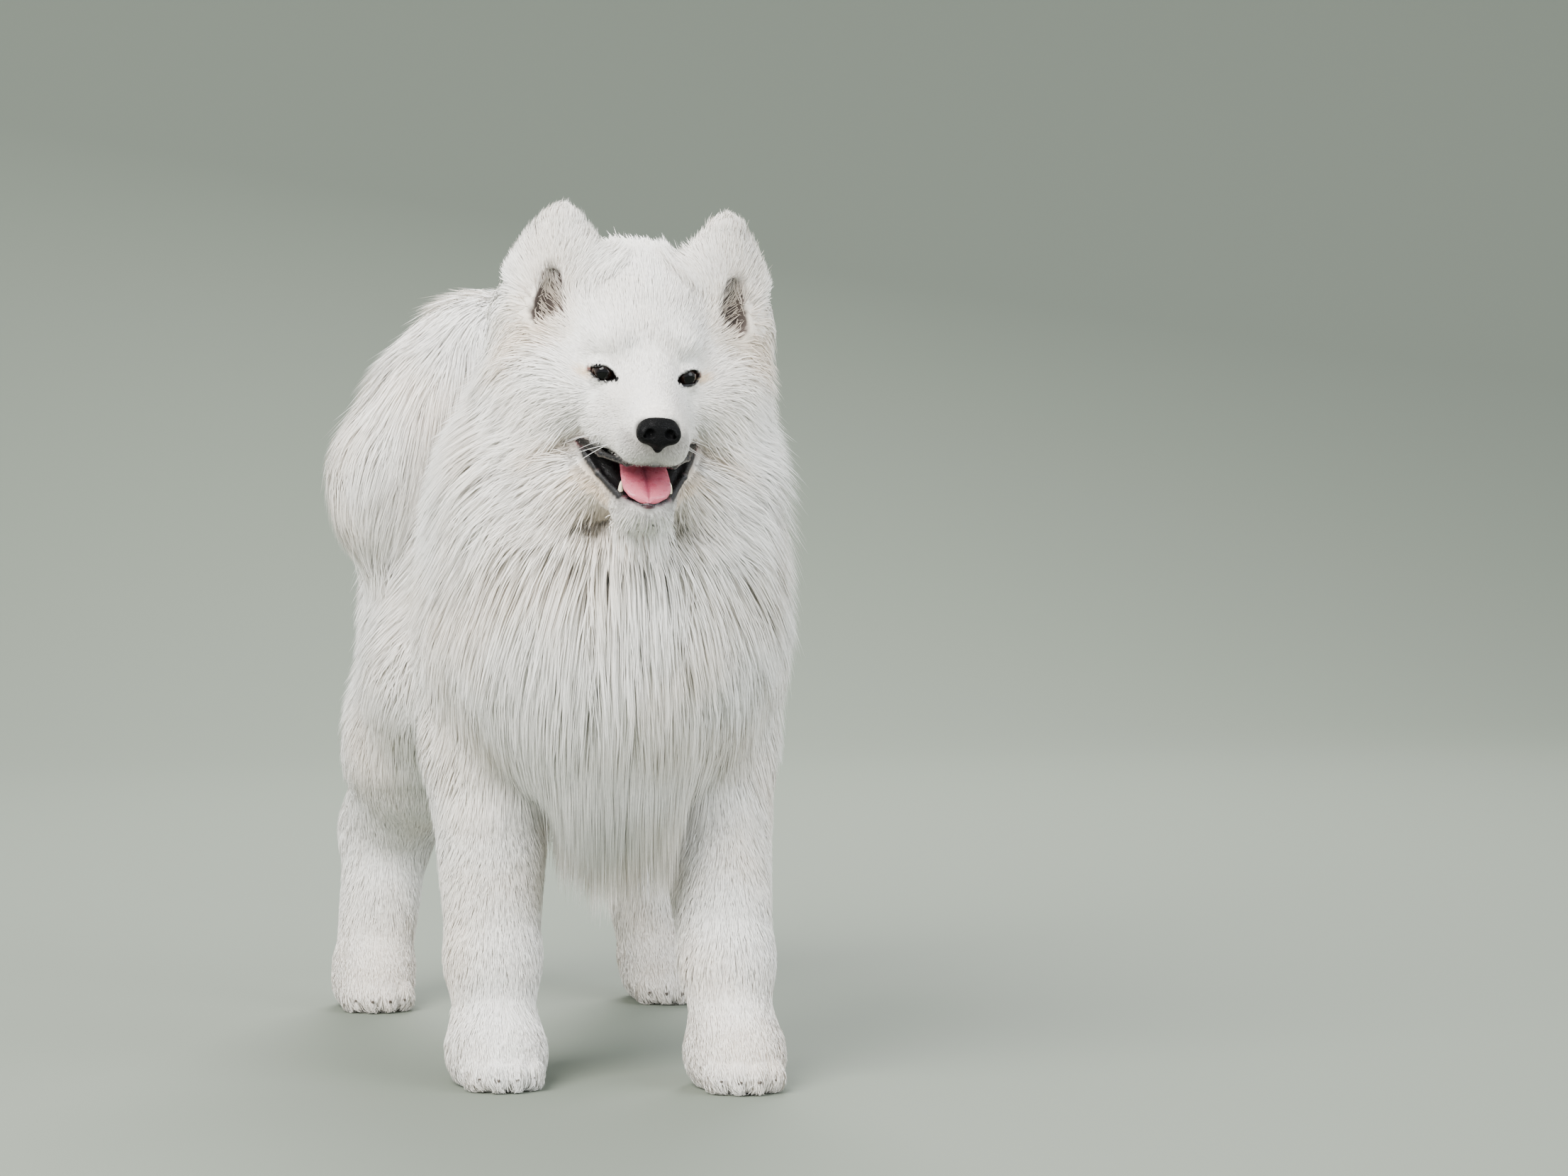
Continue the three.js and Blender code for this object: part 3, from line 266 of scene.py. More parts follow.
def mouth(h):
    """Distance into the open mouth, a wedge between the lips and the palate's hollow, in the head's frame."""
    ahead = h[..., 1] - MOUTH_CORNER[1]
    below = h[..., 2] - MOUTH_CORNER[2] - 1
    wedge = np.maximum.reduce([below, MOUTH_CORNER[2] + ahead * MOUTH_FALL - h[..., 2], ahead])
    return np.minimum(wedge, PALATE[0](h, 0))


def socket(h):
    """Distance to the two eyeballs, a little larger than they are, which the lids lie on."""
    return np.linalg.norm(on_left(h) - EYE_AT, axis=-1) - EYE_RADIUS


EYE_SIGHT = unit(np.array([math.sin(math.radians(EYE_TURN)), -math.cos(math.radians(EYE_TURN)), 0.0]))
EYE_ACROSS = unit(np.cross(EYE_SIGHT, [0, 0, 1.0]))
LID_HALF = 13.0  # half the opening's width
UPPER_LID, LOWER_LID = 5.8, 4.4  # how far each lid arches
LID_THICK = 2.4


def lid_plane(h):
    """Places on the left eye's own face: across towards the outer corner, up, and out along its sight."""
    q = h - EYE_AT
    return q @ -EYE_ACROSS, q[..., 2], q @ EYE_SIGHT


def almond(h):
    """How far outside the almond opening between the lids a place is, in millimetres; negative inside."""
    across, up, out = lid_plane(on_left(h))
    t = np.clip(across / LID_HALF, -1, 1)
    middle = mix(-2.0, 1.2, (t + 1) / 2)
    upper = middle + UPPER_LID * (1 - t * t)
    lower = middle - LOWER_LID * (1 - t * t)
    beyond = np.abs(across) - LID_HALF
    return np.maximum.reduce([up - upper, lower - up, beyond, -out])


def turned(axis, degrees):
    return np.array(Matrix.Rotation(math.radians(degrees), 3, axis))


# Ears: thick rounded cups, their mouths turned forwards and out. Both are worked out as the left one
EAR_TIP = 17
EAR_ROTATION = turned("Y", EAR_LEAN) @ turned("Z", EAR_TURN)
EAR_FLAT = np.array([0.86, 1.5, 1])
EAR_OUTER = rod([0, 0, -10], [0, 0, EAR_HEIGHT - EAR_TIP], [52, EAR_TIP])[0]
EAR_CUP = rod([-2, -31, 0], [1, -22, 26], [16, 7])[0]
EAR_NAP = 1.0


def in_ear(h):
    return (on_left(h) - np.array(EAR_BASE)) @ EAR_ROTATION


def ear_field(h):
    q = in_ear(h)
    outer = EAR_OUTER(q * EAR_FLAT, 0) * 0.8 + EAR_NAP
    return -join(-outer, EAR_CUP(q, 0) - EAR_NAP, 5)


def head_field(h, share):
    flesh = blended(JAW, h, share, blended(SKULL, h, share))
    flesh = join(flesh, ear_field(h), 10)
    flesh = -join(-flesh, mouth(h), 3)
    flesh = blended(LIPS, h, 0, flesh)
    ball_apart = socket(h)
    flesh = join(flesh, ball_apart - LID_THICK, 4)
    opened = np.maximum(almond(h), ball_apart - 9)
    flesh = -join(-flesh, opened, 1.2)
    return np.maximum(flesh, -(ball_apart - 0.2))


# How much of the coat's depth the skin takes up: all of it is hair on the body, and less on the face and feet
def face_share(h):
    ahead = ramp(h[..., 1] + 0.25 * np.abs(h[..., 0]) - 0.1 * h[..., 2], 44, 4)
    return ahead * ramp(h[..., 2] + 0.35 * (h[..., 1] + 60), -158, -132)


def leg_share(p):
    return ramp(p[..., 2], 300, 235)


def fringe_share(p):
    """How much a place belongs to the apron's foot, whose hair hangs free between the forelegs."""
    x, y, z = np.abs(p[..., 0]), p[..., 1], p[..., 2]
    return ramp(x, 92, 50) * ramp(y, 10, -20) * ramp(z, 440, 360) * ramp(z, 250, 275)


UNDERCOAT = 0.34
FACE_NAP = 0.5


def coat_field(p, body_share, face_level):
    h = to_head(p)
    face = face_share(h)
    leg = leg_share(p)
    level = mix(body_share, max(body_share, 0.72), leg)
    head_level = mix(body_share, face_level, face)
    body = blended(BODY + TAIL, p, level)
    return join(body, head_field(h, head_level), 14)


def skin_field(p):
    return coat_field(p, UNDERCOAT, FACE_NAP)


# Skin: the field's surface, by surface nets on a grid that is finer over the face


def grid_line(stops):
    """A line of coordinates with its own spacing between each two stops."""
    parts = [np.arange(a, b, size) for (a, size), (b, _) in zip(stops, stops[1:])]
    return np.concatenate(parts + [[stops[-1][0]]])


def sampled(field, axes, near=26.0, block=4):
    """The field on a grid, worked out in full only close to its surface."""
    n = [len(a) for a in axes]
    coarse = [a[::block] for a in axes]
    low = np.stack(np.meshgrid(*coarse, indexing="ij"), -1)
    rough = in_parts(field, low.reshape(-1, 3)).reshape(low.shape[:3])
    values = np.repeat(np.repeat(np.repeat(rough, block, 0), block, 1), block, 2)[: n[0], : n[1], : n[2]]
    band = np.abs(values) < near
    where = np.argwhere(band)
    points = np.stack([axes[d][where[:, d]] for d in range(3)], -1)
    values[band] = in_parts(field, points)
    return values


def in_parts(field, points, size=150000):
    return np.concatenate([field(points[i : i + size]) for i in range(0, len(points), size)])


def surface_net(values, axes):
    """Quads through the cells that the surface crosses, one point a cell."""
    inside = values < 0
    n = values.shape
    corners = [(i, j, k) for k in (0, 1) for j in (0, 1) for i in (0, 1)]
    count = np.zeros([m - 1 for m in n], np.int8)
    for i, j, k in corners:
        count += inside[i : n[0] - 1 + i, j : n[1] - 1 + j, k : n[2] - 1 + k]
    cells = np.argwhere((count > 0) & (count < 8))
    number = np.full(count.shape, -1, np.int64)
    number[tuple(cells.T)] = np.arange(len(cells))
    total = np.zeros((len(cells), 3))
    cuts = np.zeros(len(cells))
    at = [axes[d][cells[:, d, None] + np.array([0, 1])] for d in range(3)]
    for a in corners:
        for d in range(3):
            if a[d]:
                continue
            b = tuple(1 if e == d else a[e] for e in range(3))
            va = values[tuple((cells + a).T)]
            vb = values[tuple((cells + b).T)]
            crossed = (va < 0) != (vb < 0)
            t = np.where(crossed, va / np.where(crossed, va - vb, 1), 0)
            for e in range(3):
                pa, pb = at[e][:, a[e]], at[e][:, b[e]]
                total[:, e] += np.where(crossed, mix(pa, pb, t), 0)
            cuts += crossed
    points = total / cuts[:, None]
    quads = []
    for d in range(3):
        u, v = (d + 1) % 3, (d + 2) % 3
        ahead = [slice(None)] * 3
        ahead[d] = slice(1, None)
        behind = [slice(None)] * 3
        behind[d] = slice(None, -1)
        change = inside[tuple(behind)] != inside[tuple(ahead)]
        edge = np.argwhere(change)
        edge = edge[(edge[:, u] > 0) & (edge[:, v] > 0) & (edge[:, u] < n[u] - 1) & (edge[:, v] < n[v] - 1)]
        du, dv = np.eye(3, dtype=int)[u], np.eye(3, dtype=int)[v]
        quad = np.stack([number[tuple((edge - o).T)] for o in (0 * du, du, du + dv, dv)], -1)
        flip = ~inside[tuple(edge.T)]
        quad[flip] = quad[flip][:, ::-1]
        quads.append(quad)
    quads = np.concatenate(quads)
    return points, quads[(quads >= 0).all(1)]


def drawn_on(field, points, passes=2, e=0.4):
    """Points moved onto the field's surface, and the way out of it at each."""
    for _ in range(passes + 1):
        here = in_parts(field, points)
        slope = np.stack([(in_parts(field, points + e * o) - here) / e for o in np.eye(3)], -1)
        push = np.clip(-here / np.maximum((slope * slope).sum(-1), 0.3), -1.5, 1.5)
        points = points + slope * push[:, None]
    return points, unit(slope)


X_LINE = grid_line([(-236, 6.6), (-84, 2.6), (90, 6.6), (240, 6.6)])
Y_LINE = grid_line([(-262, 2.4), (-60, 4), (0, 6.6), (640, 6.6)])
Z_LINE = grid_line([(-12, 3), (60, 6.6), (516, 2.6), (780, 6), (790, 6)])
skin_axes = (X_LINE, Y_LINE, Z_LINE)
skin_points, skin_quads = surface_net(sampled(skin_field, skin_axes), skin_axes)
skin_points, skin_normals = drawn_on(skin_field, skin_points)
skin_points[:, 2] = np.maximum(skin_points[:, 2], 0.4)


def mesh_piece(name, points, faces, material, attributes=None, uv=None, normals=None):
    """A piece from arrays: points in metres, faces all of one size, values given point by point."""
    mesh = bpy.data.meshes.new(name)
    faces = np.asarray(faces)
    count, corners = faces.shape
    mesh.vertices.add(len(points))
    mesh.vertices.foreach_set("co", np.asarray(points, np.float32).ravel())
    mesh.loops.add(count * corners)
    mesh.loops.foreach_set("vertex_index", faces.astype(np.int32).ravel())
    mesh.polygons.add(count)
    mesh.polygons.foreach_set("loop_start", np.arange(0, count * corners, corners, dtype=np.int32))
    mesh.update(calc_edges=True)
    mesh.polygons.foreach_set("use_smooth", np.full(count, True))
    for key, values in (attributes or {}).items():
        layer = mesh.attributes.new(key, "FLOAT", "POINT")
        layer.data.foreach_set("value", np.asarray(values, np.float32).ravel())
    if uv is not None:
        layer = mesh.uv_layers.new(name="OFBake")
        layer.data.foreach_set("uv", np.asarray(uv, np.float32)[faces.ravel()].ravel())
    if normals is not None:
        mesh.normals_split_custom_set_from_vertices(np.asarray(normals, np.float32))
    mesh.materials.append(material)
    mesh.validate(clean_customdata=False)
    piece = bpy.data.objects.new(name, mesh)
    bpy.context.scene.collection.objects.link(piece)
    return piece


# The skin's unwrap: each half of the dog seen along each axis, in twelve charts


def chart_places(points, normals, side):
    """UV places of points, in the chart that each normal and side of the dog choose."""
    axis = np.abs(normals).argmax(-1)
    facing = np.take_along_axis(normals, axis[..., None], -1)[..., 0] > 0
    chart = axis * 4 + facing * 2 + (side > 0)
    low, high = np.array([-240.0, -265.0, 0.0]), np.array([240.0, 645.0, 790.0])
    share = (points - low) / (high - low)
    first = np.choose(axis, [share[..., 1], share[..., 0], share[..., 0]])
    second = np.choose(axis, [share[..., 2], share[..., 2], share[..., 1]])
    u = (chart % 4 + 0.02 + 0.96 * first) / 4
    v = (chart // 4 + 0.02 + 0.96 * second) / 3
    return np.stack([u, v], -1)


# Markings, bare skin and painted shade on the face, each a value from 0 to 1 at a place on the skin


def line_distance(h, line):
    """Distance to a bent line and to its mirror image across the head."""
    m = on_left(h)
    line = np.asarray(line, float)
    return np.min([rod(a, b, (0, 0))[0](m, 0) for a, b in zip(line, line[1:])], axis=0)


def lips_away(h):
    return np.minimum(line_distance(h, UPPER_LIP), line_distance(h, LOWER_LIP))


def nose_away(h):
    return np.linalg.norm((h - NOSE_AT - [0, 6, 0]) / [1.15, 1, 0.9], axis=-1) - 15.5


def lids_away(h):
    return np.where(h[..., 1] < -20, almond(h), 99)


def face_away(h):
    return np.linalg.norm(h - [0, -20, -20], axis=-1)


def markings(p):
    h = to_head(p)
    q = in_ear(h)
    near_head = ramp(face_away(h), 210, 170)
    lips = lips_away(h)
    rims = np.abs(lids_away(h))
    slit = EAR_CUP(q, 0)
    nose = nose_away(h)
    bare = np.maximum.reduce([ramp(lips, 4.4, 3.5), ramp(rims, 3.5, 2.2), ramp(nose, 3, 0)])
    gum = ramp(np.abs(h[..., 0]) - np.interp(h[..., 1], LIP_Y, LIP_X), 1.5, -1.5)
    gum = gum * ramp(h[..., 2] - np.interp(h[..., 1], LIP_Y, LIP_Z), -4, -1.5)
    gum = gum * ramp(h[..., 2], MOUTH_CORNER[2] + 2, MOUTH_CORNER[2] - 2) * (h[..., 1] < MOUTH_CORNER[1])
    bare = np.maximum(bare, gum)
    in_mouth = ramp(mouth(h), 1.5, -0.5) * near_head
    inner_ear = ramp(slit, 3.4, 1.8) * (q[..., 2] > -30) * near_head
    # Painted shade: darker in the creases over the inner corners of the eyes, under the eyes and along the
    # muzzle's sides
    brow = ramp(line_distance(h, [[11, -62, -6], [17, -64, 8]]), 8, 1) * 0.22
    under_eye_shade = ramp(line_distance(h, [[24, -64, -26], [40, -58, -27]]), 7, 1) * 0.12
    muzzle_side_shade = ramp(np.abs(h[..., 0]), 12, 26) * ramp(h[..., 1], -72, -98) * 0.14
    # Darker skin about the nose and lips, and the painted shade above, in one mask
    dark_skin_and_shade = np.maximum.reduce([
        ramp(nose, 24, 3) * ramp(h[..., 2], -36, -52), ramp(lips, 11, 5), brow, under_eye_shade, muzzle_side_shade,
    ]) * near_head
    cream = np.maximum.reduce([
        ramp(np.linalg.norm(q - [0, -14, -16], axis=-1), 46, 14) * 0.5,
        ramp(np.linalg.norm((h - [0, -30, -118]) / [60, 60, 34], axis=-1), 1.3, 0.5) * 0.4,
        ramp(line_distance(h, [MOUTH_CORNER, [58, -20, -86]]), 22, 4) * 0.45,
        ramp(line_distance(h, [[46, -51, -17], [50, -46, -19]]), 9, 2) * 0.9,
        ramp(line_distance(h, [[44, -62, -98], [30, -96, -112]]), 12, 4) * 0.55,
    ]) * near_head
    bare = bare * near_head
    return {"bare": bare, "in_mouth": in_mouth, "inner_ear": inner_ear, "dark_skin_and_shade": dark_skin_and_shade, "cream": cream}


# The lie of the coat: places on the dog and the way its hair runs there, those off its middle on both sides
LIE_MIDDLE = [
    ([0, -70, 745], [0, 1, 0]),  # crown
    ([0, 0, 725], [0, 0.85, -0.5]),  # nape
    ([0, 120, 625], [0, 0.95, -0.3]),  # withers
    ([0, 260, 595], [0, 1, -0.05]),  # back
    ([0, 430, 590], [0, 0.95, -0.3]),  # croup
    ([0, -150, 520], [0, -0.15, -1]),  # throat
    ([0, -165, 440], [0, -0.05, -1]),  # breast
    ([0, -110, 310], [0, 0.1, -1]),  # apron
    ([0, 150, 275], [0, 0.7, -0.7]),  # belly
    ([0, 300, 335], [0, 0.7, -0.7]),  # groin
]
LIE_SIDE = [
    ([110, -20, 640], [0.15, 0.5, -0.85]),  # side of the neck
    ([140, -60, 500], [0.12, 0.1, -1]),  # ruff
    ([150, -40, 390], [0.02, 0.1, -1]),  # side of the breast
    ([150, 70, 470], [0.05, 0.45, -0.9]),  # shoulder
    ([140, 170, 450], [0, 0.7, -0.7]),  # ribs
    ([100, 250, 560], [0.3, 0.85, -0.4]),  # upper side
    ([130, 300, 430], [0, 0.6, -0.8]),  # flank
    ([130, 440, 520], [0.1, 0.6, -0.8]),  # hip
    ([165, 420, 400], [0, 0.5, -0.87]),  # thigh
    ([80, 540, 440], [0.05, 0.35, -0.95]),  # breech
    ([100, 560, 300], [0, 0.25, -1]),  # back of the thigh
    ([145, 490, 240], [0, 0.35, -0.94]),  # shank
    ([145, 560, 110], [0, 0.25, -0.97]),  # hock
    ([110, 100, 290], [0, 0.7, -0.7]),  # elbow
    ([130, 40, 200], [0, 0.4, -0.95]),  # forearm
    ([102, 0, 90], [0, 0.1, -1]),  # wrist
    ([102, -50, 40], [0, -0.8, -0.6]),  # forepaw
    ([145, 500, 40], [0, -0.8, -0.6]),  # hind paw
]
LIE_FACE = [
    ([0, -132, -24], [0, 1, 0.35]),  # bridge of the nose
    ([0, -95, -8], [0, 1, 0.5]),  # stop
    ([0, -62, 14], [0, 0.45, 1]),  # forehead
    ([0, -25, 48], [0, 1, 0.6]),  # crown
    ([14, -134, -52], [0.5, 0.6, -0.6]),  # under the nose
    ([30, -112, -50], [0.35, 1, -0.35]),  # side of the muzzle
    ([34, -90, -66], [0.3, 0.8, -0.75]),  # upper lip
    ([38, -66, -42], [0.55, 0.9, -0.35]),  # under the eye
    ([22, -60, 0], [0.15, 0.4, 1]),  # brow
    ([50, -46, -4], [0.8, 0.6, 0.35]),  # outer corner of the eye
    ([14, -62, -14], [-0.3, 0.6, 0.8]),  # inner corner of the eye
    ([62, -20, -30], [0.6, 0.8, -0.45]),  # cheek
    ([66, -8, -80], [0.35, 0.5, -0.9]),  # lower cheek
    ([95, 20, -60], [0.45, 0.45, -0.85]),  # ruff behind the cheek
    ([44, -10, 40], [0.35, 0.7, 0.7]),  # between the brow and the ear
    ([16, -112, -124], [0.25, 0.45, -0.9]),  # chin
    ([0, -70, -128], [0, 0.8, -0.7]),  # under the jaw
    ([34, -66, -108], [0.45, 0.6, -0.75]),  # side of the jaw
]


def both_sides(guides):
    return list(guides) + [(FLIP * at, FLIP * way) for at, way in guides]


body_guides = LIE_MIDDLE + both_sides(LIE_SIDE)
face_guides = [(from_head([at])[0], HEAD_ROTATION @ way) for at, way in both_sides(LIE_FACE)]
GUIDE_AT = np.array([at for at, _ in body_guides + face_guides], float)
GUIDE_WAY = unit(np.array([way for _, way in body_guides + face_guides], float))
GUIDE_SPREAD = np.array([400.0] * len(body_guides) + [60.0] * len(face_guides))
GUIDE_PULL = np.array([1.0] * len(body_guides) + [0.12] * len(face_guides))


def tail_pull(p):
    """How much a place belongs to the tail, and the way along it there."""
    line = np.array(TAIL_LINE, float)
    apart = np.stack([rod(a, b, (0, 0))[0](p, 0) for a, b in zip(line, line[1:])], -1)
    nearest = apart.argmin(-1)
    way = unit(np.diff(line, axis=0))[nearest]
    off_body = blended(TRUNK, p, 0.5)
    return ramp(apart.min(-1), 70, 50) * ramp(off_body, 4, 24), way


def lie_at(p):
    way = np.zeros_like(p)
    for start in range(0, len(p), 60000):
        q = p[start : start + 60000]
        square = ((q[:, None] - GUIDE_AT) ** 2).sum(-1)
        weight = GUIDE_PULL / (square + GUIDE_SPREAD) ** 2
        way[start : start + 60000] = weight @ GUIDE_WAY
    h = to_head(p)
    q = in_ear(h)
    sign = np.where(h[..., :1] < 0, -1, 1) * np.array([1, 0, 0]) + np.array([0, 1, 1])
    aside = 0.9 * np.clip(q[..., 0] / 30, -1, 1) * ramp(q[..., 2], 78, 46)
    ones = np.ones_like(aside)
    up_ear = np.stack([aside, 0.1 * ones, ones], -1) @ EAR_ROTATION.T * sign @ HEAD_ROTATION.T
    on_ear = (ramp(q[..., 2], -6, 34) * ramp(EAR_OUTER(q * EAR_FLAT, 0), 34, 2))[..., None]
    tail, along_tail = tail_pull(p)
    way = mix(unit(way), unit(up_ear), on_ear)
    return unit(mix(way, along_tail * 0.8 + [0, 0, -0.45], tail[..., None]))


# The coat's outside and the skin, as coarse grids that tufts find their way by
GUIDE_STEP = 9.0
guide_axes = tuple(np.arange(low, high, GUIDE_STEP) for low, high in ((-300, 301), (-330, 700), (-20, 860)))
guide_places = np.stack(np.meshgrid(*guide_axes, indexing="ij"), -1).reshape(-1, 3)


def guide_grid(body_share, face_level):
    values = in_parts(lambda p: coat_field(p, body_share, face_level), guide_places)
    return values.reshape([len(a) for a in guide_axes])


GRID_SKIN, GRID_COAT = guide_grid(UNDERCOAT, FACE_NAP), guide_grid(1.0, 1.0)


def looked_up(grid, p):
    """A grid's value and slope at places, from the eight corners around each."""
    f = (p - [a[0] for a in guide_axes]) / GUIDE_STEP
    cell = np.clip(f.astype(int), 0, np.array(grid.shape) - 2)
    t = np.clip(f - cell, 0, 1)
    i, j, k = cell.T
    c = [[[grid[i + a, j + b, k + d] for d in (0, 1)] for b in (0, 1)] for a in (0, 1)]
    x, y, z = t.T
    across = [[mix(c[0][b][d], c[1][b][d], x) for d in (0, 1)] for b in (0, 1)]
    value = mix(mix(across[0][0], across[1][0], y), mix(across[0][1], across[1][1], y), z)
    climb = [[c[1][b][d] - c[0][b][d] for d in (0, 1)] for b in (0, 1)]
    dx = mix(mix(climb[0][0], climb[1][0], y), mix(climb[0][1], climb[1][1], y), z)
    dy = mix(across[1][0] - across[0][0], across[1][1] - across[0][1], z)
    dz = mix(across[0][1], across[1][1], y) - mix(across[0][0], across[1][0], y)
    return value, np.stack([dx, dy, dz], -1) / GUIDE_STEP


# Roots, thickly sown where tufts are small


def coat_plan(p):
    """For places on the skin: tufts to the square millimetre, their length and width, and the regions."""
    h = to_head(p)
    q = in_ear(h)
    face = face_share(h) * ramp(face_away(h), 190, 160)
    ear = ramp(q[..., 2], -4, 24) * ramp(EAR_OUTER(q * EAR_FLAT, 0), 22, 4)
    leg = leg_share(p)
    foot = ramp(p[..., 2], 110, 30)
    tail = tail_pull(p)[0]
    ruff = ramp(p[..., 1], 60, -20) * ramp(p[..., 2], 300, 380) * (1 - face)
    back = ramp(p[..., 2], 520, 590) * ramp(p[..., 1], 40, 140)
    breech = ramp(p[..., 1], 470, 530) * ramp(p[..., 2], 250, 330)
    leg_back = leg * ramp(p[..., 1] - np.where(p[..., 1] > 300, 545, 30), 0, 30) * ramp(p[..., 2], 90, 150)
    length = np.full(len(p), 66.0)
    length = mix(length, 92, ruff)
    length = mix(length, 56, back)
    length = mix(length, 96, breech)
    length = mix(length, 21, leg)
    length = mix(length, 40, leg_back)
    length = mix(length, 13, foot)
    length = mix(length, 118, tail)
    length = mix(length, 190, fringe_share(p))
    muzzle = ramp(h[..., 1], -62, -100)
    brow_to_cheek = ramp(np.abs(h[..., 0]) - 0.2 * h[..., 2], 48, 84)
    length = mix(length, mix(mix(15, 34, brow_to_cheek), 7.5, muzzle), face)
    crown = ramp(h[..., 2], -10, 30) * ramp(h[..., 1], 150, 80) * (1 - ear)
    length = np.minimum(length, mix(140, mix(15, 84, ramp(h[..., 1], -40, 130)), crown))
    edge = ramp(np.abs(q[..., 0]), 12, 30) * ramp(q[..., 2], 84, 52)
    length = mix(length, mix(12, 23, edge), ear)
    length *= mix(1, 0.4, ramp(lids_away(h), 20, 4) * face)
    length *= mix(1, 0.6, ramp(nose_away(h), 26, 6) * face)
    length *= mix(1, 0.45, ramp(lips_away(h), 16, 4) * face)
    short = np.clip((length - 7) / 60, 0, 1)
    density = mix(0.95, 0.2, np.sqrt(short))
    density = mix(density, 0.3, tail) * mix(1, 0.68, leg)
    width = mix(0.85, 1.6, short)
    return density, length, width, face, ear, tail


def sown(points, quads, normals):
    """Roots on the skin with the normal there, spread by the plan's density."""
    corners = points[quads]
    middle = corners.mean(1)
    area = 0.5 * np.linalg.norm(crossed_corners(corners), axis=-1)
    density = coat_plan(middle)[0]
    marks = markings(middle)
    hairless = np.maximum(marks["in_mouth"], marks["bare"]) > 0.35
    density = np.where(hairless | (middle[:, 2] < 3), 0, density)
    density = density * mix(1, 0.3, marks["inner_ear"]) * mix(1, 0.6, marks["dark_skin_and_shade"])
    wanted = area * density
    count = np.floor(wanted + rng.random(len(wanted))).astype(int)
    which = np.repeat(np.arange(len(quads)), count)
    u, v = rng.random((2, len(which), 1))

    def within(a):
        return mix(mix(a[:, 0], a[:, 1], u), mix(a[:, 3], a[:, 2], u), v)

    return within(corners[which]), unit(within(normals[quads[which]]))


STATIONS = 4  # places along a tuft, from its root to its tip
STEPS = np.array([0.0, 0.3, 0.66, 1.0])


def grown_tufts(roots, normals):
    """Each tuft's path: it follows the lie, hugging the coat's outside as that rises from root to tip."""
    _, length, width, face, ear, tail = coat_plan(roots)
    count = len(roots)
    stray = rng.random(count) < 0.12
    length = length * rng.uniform(0.72, 1.15, count) * np.where(stray & (length < 60), mix(1.15, 1.5, ear), 1)
    width = np.where(stray, 0.6, 1) * width
    long_hair = ramp(length, 18, 40)
    fringe = fringe_share(roots)
    way = lie_at(roots)
    way = unit(way + rng.normal(0, 0.19, (count, 3)))
    way = unit(way - normals * (way * normals).sum(-1, keepdims=True))
    rise = mix(mix(0.32, 0.27, face), 0.0, long_hair)
    h = to_head(roots)
    q = in_ear(h)
    ear_rise = mix(0.5, 0.95, ramp(np.abs(q[..., 0]), 12, 36)) * mix(1, 0.55, ramp(q[..., 2], 50, 74))
    rise = mix(rise, ear_rise, ear)
    crown = ramp(h[..., 2], 20, 42) * (1 - ear) * ramp(length, 60, 30)
    rise = np.maximum(rise, 0.55 * crown)
    heading = unit(way + normals * rise[:, None])
    heading = unit(mix(heading, np.array([0, -0.05, -1]), fringe[:, None] * 0.8))
    path = np.zeros((count, STATIONS, 3))
    out = np.zeros((count, STATIONS, 3))
    path[:, 0] = roots - normals * 1.0
    out[:, 0] = normals
    top = rng.uniform(0.75, 1.16, count) + 0.2 * (rng.random(count) < 0.1)
    at = roots.copy()
    for i in range(1, STATIONS):
        stride = length * (STEPS[i] - STEPS[i - 1])
        at = at + heading * stride[:, None]
        skin_value, skin_slope = looked_up(GRID_SKIN, at)
        coat_value, coat_slope = looked_up(GRID_COAT, at)
        share = STEPS[i] ** 0.75 * top
        value = mix(skin_value, coat_value, share)
        slope = unit(mix(skin_slope, coat_slope, share[:, None]))
        hug = long_hair * np.where(value > 0, 0.75, 1.0) * (1 - 0.95 * fringe) * (1 - 0.3 * tail)
        at = at - slope * (value * hug)[:, None]
        out[:, i] = unit(mix(normals, slope, long_hair[:, None]))
        at[:, 2] = np.maximum(at[:, 2], 0.8)
        path[:, i] = at
        fresh = lie_at(at)
        fresh = unit(fresh - slope * (fresh * slope).sum(-1, keepdims=True) + [0, 0, -0.12])
        fresh = unit(mix(fresh, np.array([0, 0.04, -1]), fringe[:, None]))
        stiff = unit(heading + fresh * 0.2 - normals * 0.1)
        heading = unit(mix(stiff, unit(heading * 0.35 + fresh), long_hair[:, None]))
    return path, out, width * rng.uniform(0.8, 1.2, count), length


def clumped(path, roots, radius, pull):
    """Tufts drawn towards the one that leads their clump, more and more to the tip."""
    order = rng.permutation(len(roots))
    cell = np.floor(roots[order] / radius[order, None]).astype(int)
    size = np.round(np.log(radius[order]) * 2).astype(int)
    clumps = np.column_stack([cell, size])
    _, first, member = np.unique(clumps, axis=0, return_index=True, return_inverse=True)
    member = member.ravel()
    leader = order[first][member]
    own = path[order]
    lead = path[leader] - roots[leader][:, None] + mix(roots[order], roots[leader], 0.55)[:, None]
    drawn = (STEPS**1.3)[None, :, None] * pull[order][:, None, None]
    result = np.empty_like(path)
    result[order] = mix(own, lead, drawn)
    return result


